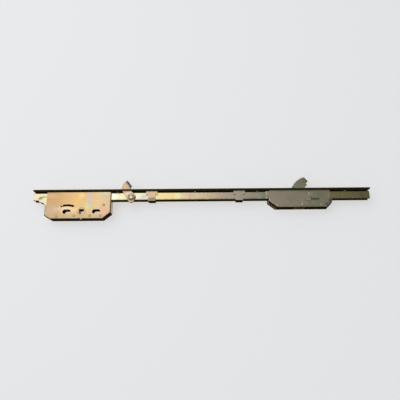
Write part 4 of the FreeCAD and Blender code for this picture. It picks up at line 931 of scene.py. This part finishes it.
@dataclass
class RivetHeads:
    """Peened rivet heads, made by Geometry Nodes on a handful of points.

    Attributes:
        segments: Sides of a head.
        rings: Rings of a head's ball.
        tilt: Most that a head tips, in radians.
        turn: Most that a head turns, in radians.
        seed: Seed of the tips and turns.
        tree: The node tree.
    """

    segments: int = 32
    rings: int = 12
    tilt: float = 0.02
    turn: float = 3.1
    seed: int = 7
    tree: bpy.types.NodeTree = field(init=False)

    def __post_init__(self) -> None:
        """Builds the tree once."""
        self.tree = self._build()

    def _build(self) -> bpy.types.NodeTree:
        """Builds the tree that puts a low dome on each point.

        Returns:
            The geometry node tree.
        """
        tree = bpy.data.node_groups.new("rivet_heads", "GeometryNodeTree")
        sockets = (("Geometry", "NodeSocketGeometry"), ("Radius", "NodeSocketFloat"),
                   ("Height", "NodeSocketFloat"), ("Material", "NodeSocketMaterial"))
        for label, kind in sockets:
            tree.interface.new_socket(name=label, in_out="INPUT", socket_type=kind)
        tree.interface.new_socket(name="Geometry", in_out="OUTPUT", socket_type="NodeSocketGeometry")
        entry = tree.nodes.new("NodeGroupInput")
        leave = tree.nodes.new("NodeGroupOutput")
        dome = put(tree, "GeometryNodeMeshUVSphere", -3.0, -1.0, Segments=self.segments, Rings=self.rings,
                   Radius=1.0)
        scale = tree.nodes.new("ShaderNodeCombineXYZ")
        spread = tree.nodes.new("GeometryNodeInstanceOnPoints")
        turn = tree.nodes.new("FunctionNodeRandomValue")
        turn.data_type = "FLOAT_VECTOR"
        fill(turn, {"Min": (0.0, 0.0, 0.0), "Max": (self.tilt, self.tilt, self.turn), "Seed": self.seed})
        real = tree.nodes.new("GeometryNodeRealizeInstances")
        smooth = tree.nodes.new("GeometryNodeSetShadeSmooth")
        paint = tree.nodes.new("GeometryNodeSetMaterial")
        wire(tree, (entry, "Geometry", spread, "Points"), (dome, "Mesh", spread, "Instance"),
             (entry, "Radius", scale, "X"), (entry, "Radius", scale, "Y"), (entry, "Height", scale, "Z"),
             (scale, "Vector", spread, "Scale"), (turn, "Value", spread, "Rotation"),
             (spread, "Instances", real, "Geometry"), (real, "Geometry", smooth, "Geometry"),
             (smooth, "Geometry", paint, "Geometry"), (entry, "Material", paint, "Material"),
             (paint, "Geometry", leave, "Geometry"))
        return tree

    def make(self, name: str, points: list[Vector], radius: float, height: float,
             material: bpy.types.Material) -> bpy.types.Object:
        """Makes one object that holds a head on each point.

        Args:
            name: Name of the object.
            points: Middles of the heads.
            radius: Radius of a head.
            height: How far a head stands out.
            material: Finish of the heads.

        Returns:
            The new object.
        """
        mesh = bpy.data.meshes.new(name)
        mesh.from_pydata([tuple(point) for point in points], [], [])
        made = add_object(name, mesh)
        stack = made.modifiers.new("heads", "NODES")
        stack.node_group = self.tree
        values = {"Radius": radius, "Height": height, "Material": material}
        for item in self.tree.interface.items_tree:
            if item.in_out == "INPUT" and item.name in values:
                stack[item.identifier] = values[item.name]
        return settle(made)


# Dressing

@dataclass(frozen=True)
class Piece:
    """How one node is dressed.

    Attributes:
        node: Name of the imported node.
        look: Its finish.
        edge: How its edges are softened.
        rolled: Width of the rounding of its long edges, in metres, or 0 where they are as the others.
    """

    node: str
    look: ZincFinish
    edge: Edge = Edge.SHEET
    rolled: float = 0.0


@dataclass(frozen=True)
class HeadRow:
    """The heads of one kind of rivet.

    Attributes:
        name: Name of the heads' objects, without their side.
        node: Node whose rivets get the heads.
        places: X and Y of each rivet, in millimetres.
        radius: Radius of a head, in metres.
        look: Finish of the heads.
    """

    name: str
    node: str
    places: tuple[Spot, ...]
    radius: float
    look: ZincFinish


@dataclass
class Dresser:
    """Builds finishes once and dresses nodes with them."""

    effects: SharedEffects = field(default_factory=SharedEffects)
    heads: RivetHeads = field(default_factory=RivetHeads)
    made: dict[str, bpy.types.Material] = field(default_factory=dict)

    def finish(self, look: ZincFinish) -> bpy.types.Material:
        """Returns the finish's material, building it the first time.

        Args:
            look: The finish.

        Returns:
            Its material.
        """
        if look.name not in self.made:
            self.made[look.name] = look.material(self.effects)
        return self.made[look.name]

    def dress(self, piece: Piece) -> None:
        """Replaces a node by a softened and finished copy.

        Args:
            piece: How the node is dressed.
        """
        made = soften(piece.node, piece.edge.value * MM, piece.rolled)
        made.data.materials.clear()
        made.data.materials.append(self.finish(piece.look))
        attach(made, body_of(piece.node))
        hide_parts(piece.node)
        LOG.info("%s: %d faces", made.name, len(made.data.polygons))

    def put_heads(self, row: HeadRow, side: Side) -> None:
        """Adds rivet heads to a node's body.

        Args:
            row: The rivets and their heads.
            side: Face of the gear that the heads stand on.
        """
        low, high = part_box(row.node)
        level = high.z - HEAD_HEIGHT if side is Side.NEAR else low.z + HEAD_HEIGHT
        points = [Vector((x * MM, y * MM, level)) for x, y in row.places]
        name = f"{row.name}_{side.value}"
        made = self.heads.make(name, points, row.radius, HEAD_HEIGHT, self.finish(row.look))
        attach(made, body_of(row.node))
        LOG.info("%s: %d heads", name, len(points))


# Sub-assemblies

@dataclass
class SubAssembly:
    """Pieces that go together.

    Attributes:
        pieces: How each node is dressed.
        heads: Rivets that get heads on both faces of the gear.
    """

    pieces: tuple[Piece, ...] = ()
    heads: tuple[HeadRow, ...] = ()

    def build(self, dresser: Dresser) -> None:
        """Dresses the nodes and adds the rivet heads.

        Args:
            dresser: Makes and finishes the pieces.
        """
        for piece in self.pieces:
            dresser.dress(piece)
        for row in self.heads:
            for side in Side:
                dresser.put_heads(row, side)
        LOG.info("built %s", type(self).__name__)


@dataclass
class Fixings(SubAssembly):
    """The faceplate and the clips that hold the rail to it."""

    pieces: tuple[Piece, ...] = (
        Piece("faceplate", FACEPLATE_ZINC, rolled=1.0 * MM),
        Piece("guide_clip_left", CLIP_ZINC),
        Piece("guide_clip_right", CLIP_ZINC_RIGHT))


@dataclass
class Gearbox(SubAssembly):
    """The flat case with the follower, its spring and the pillars."""

    pieces: tuple[Piece, ...] = (
        Piece("gearbox_cover", GEARBOX_ZINC),
        Piece("gearbox_base", GEARBOX_BASE_ZINC),
        Piece("gearbox_pillars", PILLAR_ZINC),
        Piece("follower", FOLLOWER_ZINC),
        Piece("detent_spring", SPRING_STEEL, Edge.STRIP))
    heads: tuple[HeadRow, ...] = (
        HeadRow("pillar_heads", "gearbox_pillars",
                ((-36.0, -7.5), (-10.3, -6.4), (12.3, -6.2), (27.9, -6.6), (31.8, 9.8)),
                2.15 * MM, PILLAR_ZINC),)


@dataclass
class SlidingRail(SubAssembly):
    """The channel with the rack, its rivets, the guide stud and the drive pin."""

    pieces: tuple[Piece, ...] = (
        Piece("drive_rail", RAIL_ZINC),
        Piece("rack", RACK_ZINC),
        Piece("rack_rivets", RIVET_STEEL),
        Piece("guide_stud", RIVET_STEEL, Edge.STUD),
        Piece("drive_pin", RIVET_STEEL, Edge.PIN_HEAD))


@dataclass
class SwingHook(SubAssembly):
    """The hook on the rail's side and its rivet."""

    pieces: tuple[Piece, ...] = (
        Piece("swing_hook", SWING_HOOK_ZINC, Edge.PLATE),
        Piece("swing_hook_rivet", SWING_RIVET_STEEL, Edge.PIN_HEAD))


@dataclass
class HookCase(SubAssembly):
    """The second case with the hook, its pivot and the rivets."""

    pieces: tuple[Piece, ...] = (
        Piece("hook_case_cover", HOOK_CASE_ZINC),
        Piece("hook_case_base", HOOK_CASE_ZINC),
        Piece("hook_case_rivets", RIVET_STEEL),
        Piece("hook", HOOK_ZINC, Edge.PLATE),
        Piece("hook_pivot", RIVET_STEEL, Edge.PIVOT_HEAD))
    heads: tuple[HeadRow, ...] = (
        HeadRow("case_rivet_heads", "hook_case_rivets", ((286.3, 8.0), (323.0, 8.6), (350.1, 8.7)),
                2.0 * MM, RIVET_STEEL),)


# Studio

@dataclass
class Studio:
    """Floor, surround, lamp and camera.

    Attributes:
        floor_level: Height of the floor, in metres.
        floor_half: Half the floor's side, in metres.
        floor_color: Colour of the floor.
        floor_lift: How much paler the floor looks to the camera than it lights the gear.
        surround: Stops of the soft surround, from its left to its right.
        lamp_place: Where the softbox hangs.
        lamp_size: Side of the softbox, in metres.
        lamp_power: Power of the softbox, in watts.
        camera_place: Where the camera stands.
        camera_target: Point that the camera looks at.
        camera_roll: How far the camera is turned about its view, in degrees.
        lens: Focal length, in millimetres.
        sensor: Width of the sensor, in millimetres.
    """

    floor_level: float = -0.0102
    floor_half: float = 3.0
    floor_color: Color = (0.55, 0.55, 0.56)
    floor_lift: float = 0.51
    surround: tuple[Stop, ...] = ((0.0, (0.62, 0.64, 0.66)), (0.45, (0.42, 0.43, 0.44)),
                                  (0.66, (0.13, 0.14, 0.15)), (1.0, (0.3, 0.31, 0.32)))
    lamp_place: Point = (-0.45, 0.37, 1.2)
    lamp_size: float = 1.3
    lamp_power: float = 4.4
    camera_place: Point = (0.1725, -0.161, 0.586)
    camera_target: Point = (0.1725, 0.016, 0.0066)
    camera_roll: float = 0.46
    lens: float = 37.26
    sensor: float = 36.0

    def build(self) -> None:
        """Builds the whole studio."""
        self._floor()
        self._world()
        self._softbox("window_softbox")
        self._camera()

    def _floor(self) -> None:
        """Lays a plain pale floor, which a view straight at it shows a little paler."""
        mesh = bpy.data.meshes.new("floor")
        half = self.floor_half
        corners = [(-half, -half), (half, -half), (half, half), (-half, half)]
        mesh.from_pydata([(x, y, self.floor_level) for x, y in corners], [], [(0, 1, 2, 3)])
        floor = add_object("floor", mesh)
        paper = bpy.data.materials.new("floor_paper")
        paper.use_nodes = True
        tree = paper.node_tree
        shader = tree.nodes["Principled BSDF"]
        fill(shader, {"Base Color": (*self.floor_color, 1.0), "Roughness": 0.9, "Specular IOR Level": 0.0,
                      "Emission Color": (*WHITE, 1.0)})
        path = put(tree, "ShaderNodeLightPath", -4.0, 0)
        seen = maths(tree, -3.0, 0, "MAXIMUM", path.outputs["Is Camera Ray"], path.outputs["Is Glossy Ray"])
        shown = maths(tree, -2.0, 0, "MAXIMUM", seen, path.outputs["Is Transmission Ray"])
        lift = maths(tree, -1.0, 0, "MULTIPLY", shown, self.floor_lift)
        feed(tree, shader.inputs["Emission Strength"], lift)
        mesh.materials.append(paper)

    def _world(self) -> None:
        """Sets a soft surround that falls off towards the right."""
        world = bpy.data.worlds.new("surround")
        world.use_nodes = True
        bpy.context.scene.world = world
        tree = world.node_tree
        back = tree.nodes["Background"]
        back.inputs["Strength"].default_value = 1.0
        place = put(tree, "ShaderNodeTexCoord", -5.0, 0)
        parts = put(tree, "ShaderNodeSeparateXYZ", -4.0, 0)
        share = put(tree, "ShaderNodeMapRange", -3.0, 0, From_Min=-1.0, From_Max=1.0)
        fall = ramp(tree, -2.0, 0, self.surround)
        wire(tree, (place, "Generated", parts, "Vector"), (parts, "X", share, "Value"),
             (share, "Result", fall, "Fac"), (fall, "Color", back, "Color"))

    def _softbox(self, name: str) -> None:
        """Hangs a square softbox that faces down.

        Args:
            name: Name of the lamp.
        """
        data = bpy.data.lights.new(name, "AREA")
        data.shape = "SQUARE"
        data.size = self.lamp_size
        data.energy = self.lamp_power
        lamp = add_object(name, data)
        lamp.location = self.lamp_place

    def _camera(self) -> None:
        """Puts the camera where the photograph was taken from."""
        data = bpy.data.cameras.new("camera")
        data.lens = self.lens
        data.sensor_width = self.sensor
        data.clip_start = 0.01
        camera = add_object("camera", data)
        aim = Vector(self.camera_target) - Vector(self.camera_place)
        turn = aim.to_track_quat("-Z", "Y").to_matrix().to_4x4()
        roll = Matrix.Rotation(math.radians(-self.camera_roll), 4, "Z")
        camera.matrix_world = Matrix.Translation(Vector(self.camera_place)) @ turn @ roll
        bpy.context.scene.camera = camera


def main() -> None:
    """Builds every sub-assembly and the studio."""
    logging.basicConfig(level=logging.INFO, format="%(name)s: %(message)s")
    bpy.context.scene.view_settings.view_transform = "Standard"
    dresser = Dresser()
    for part in (Fixings(), Gearbox(), SlidingRail(), SwingHook(), HookCase()):
        part.build(dresser)
    Studio().build()


if __name__ == "__main__":
    main()
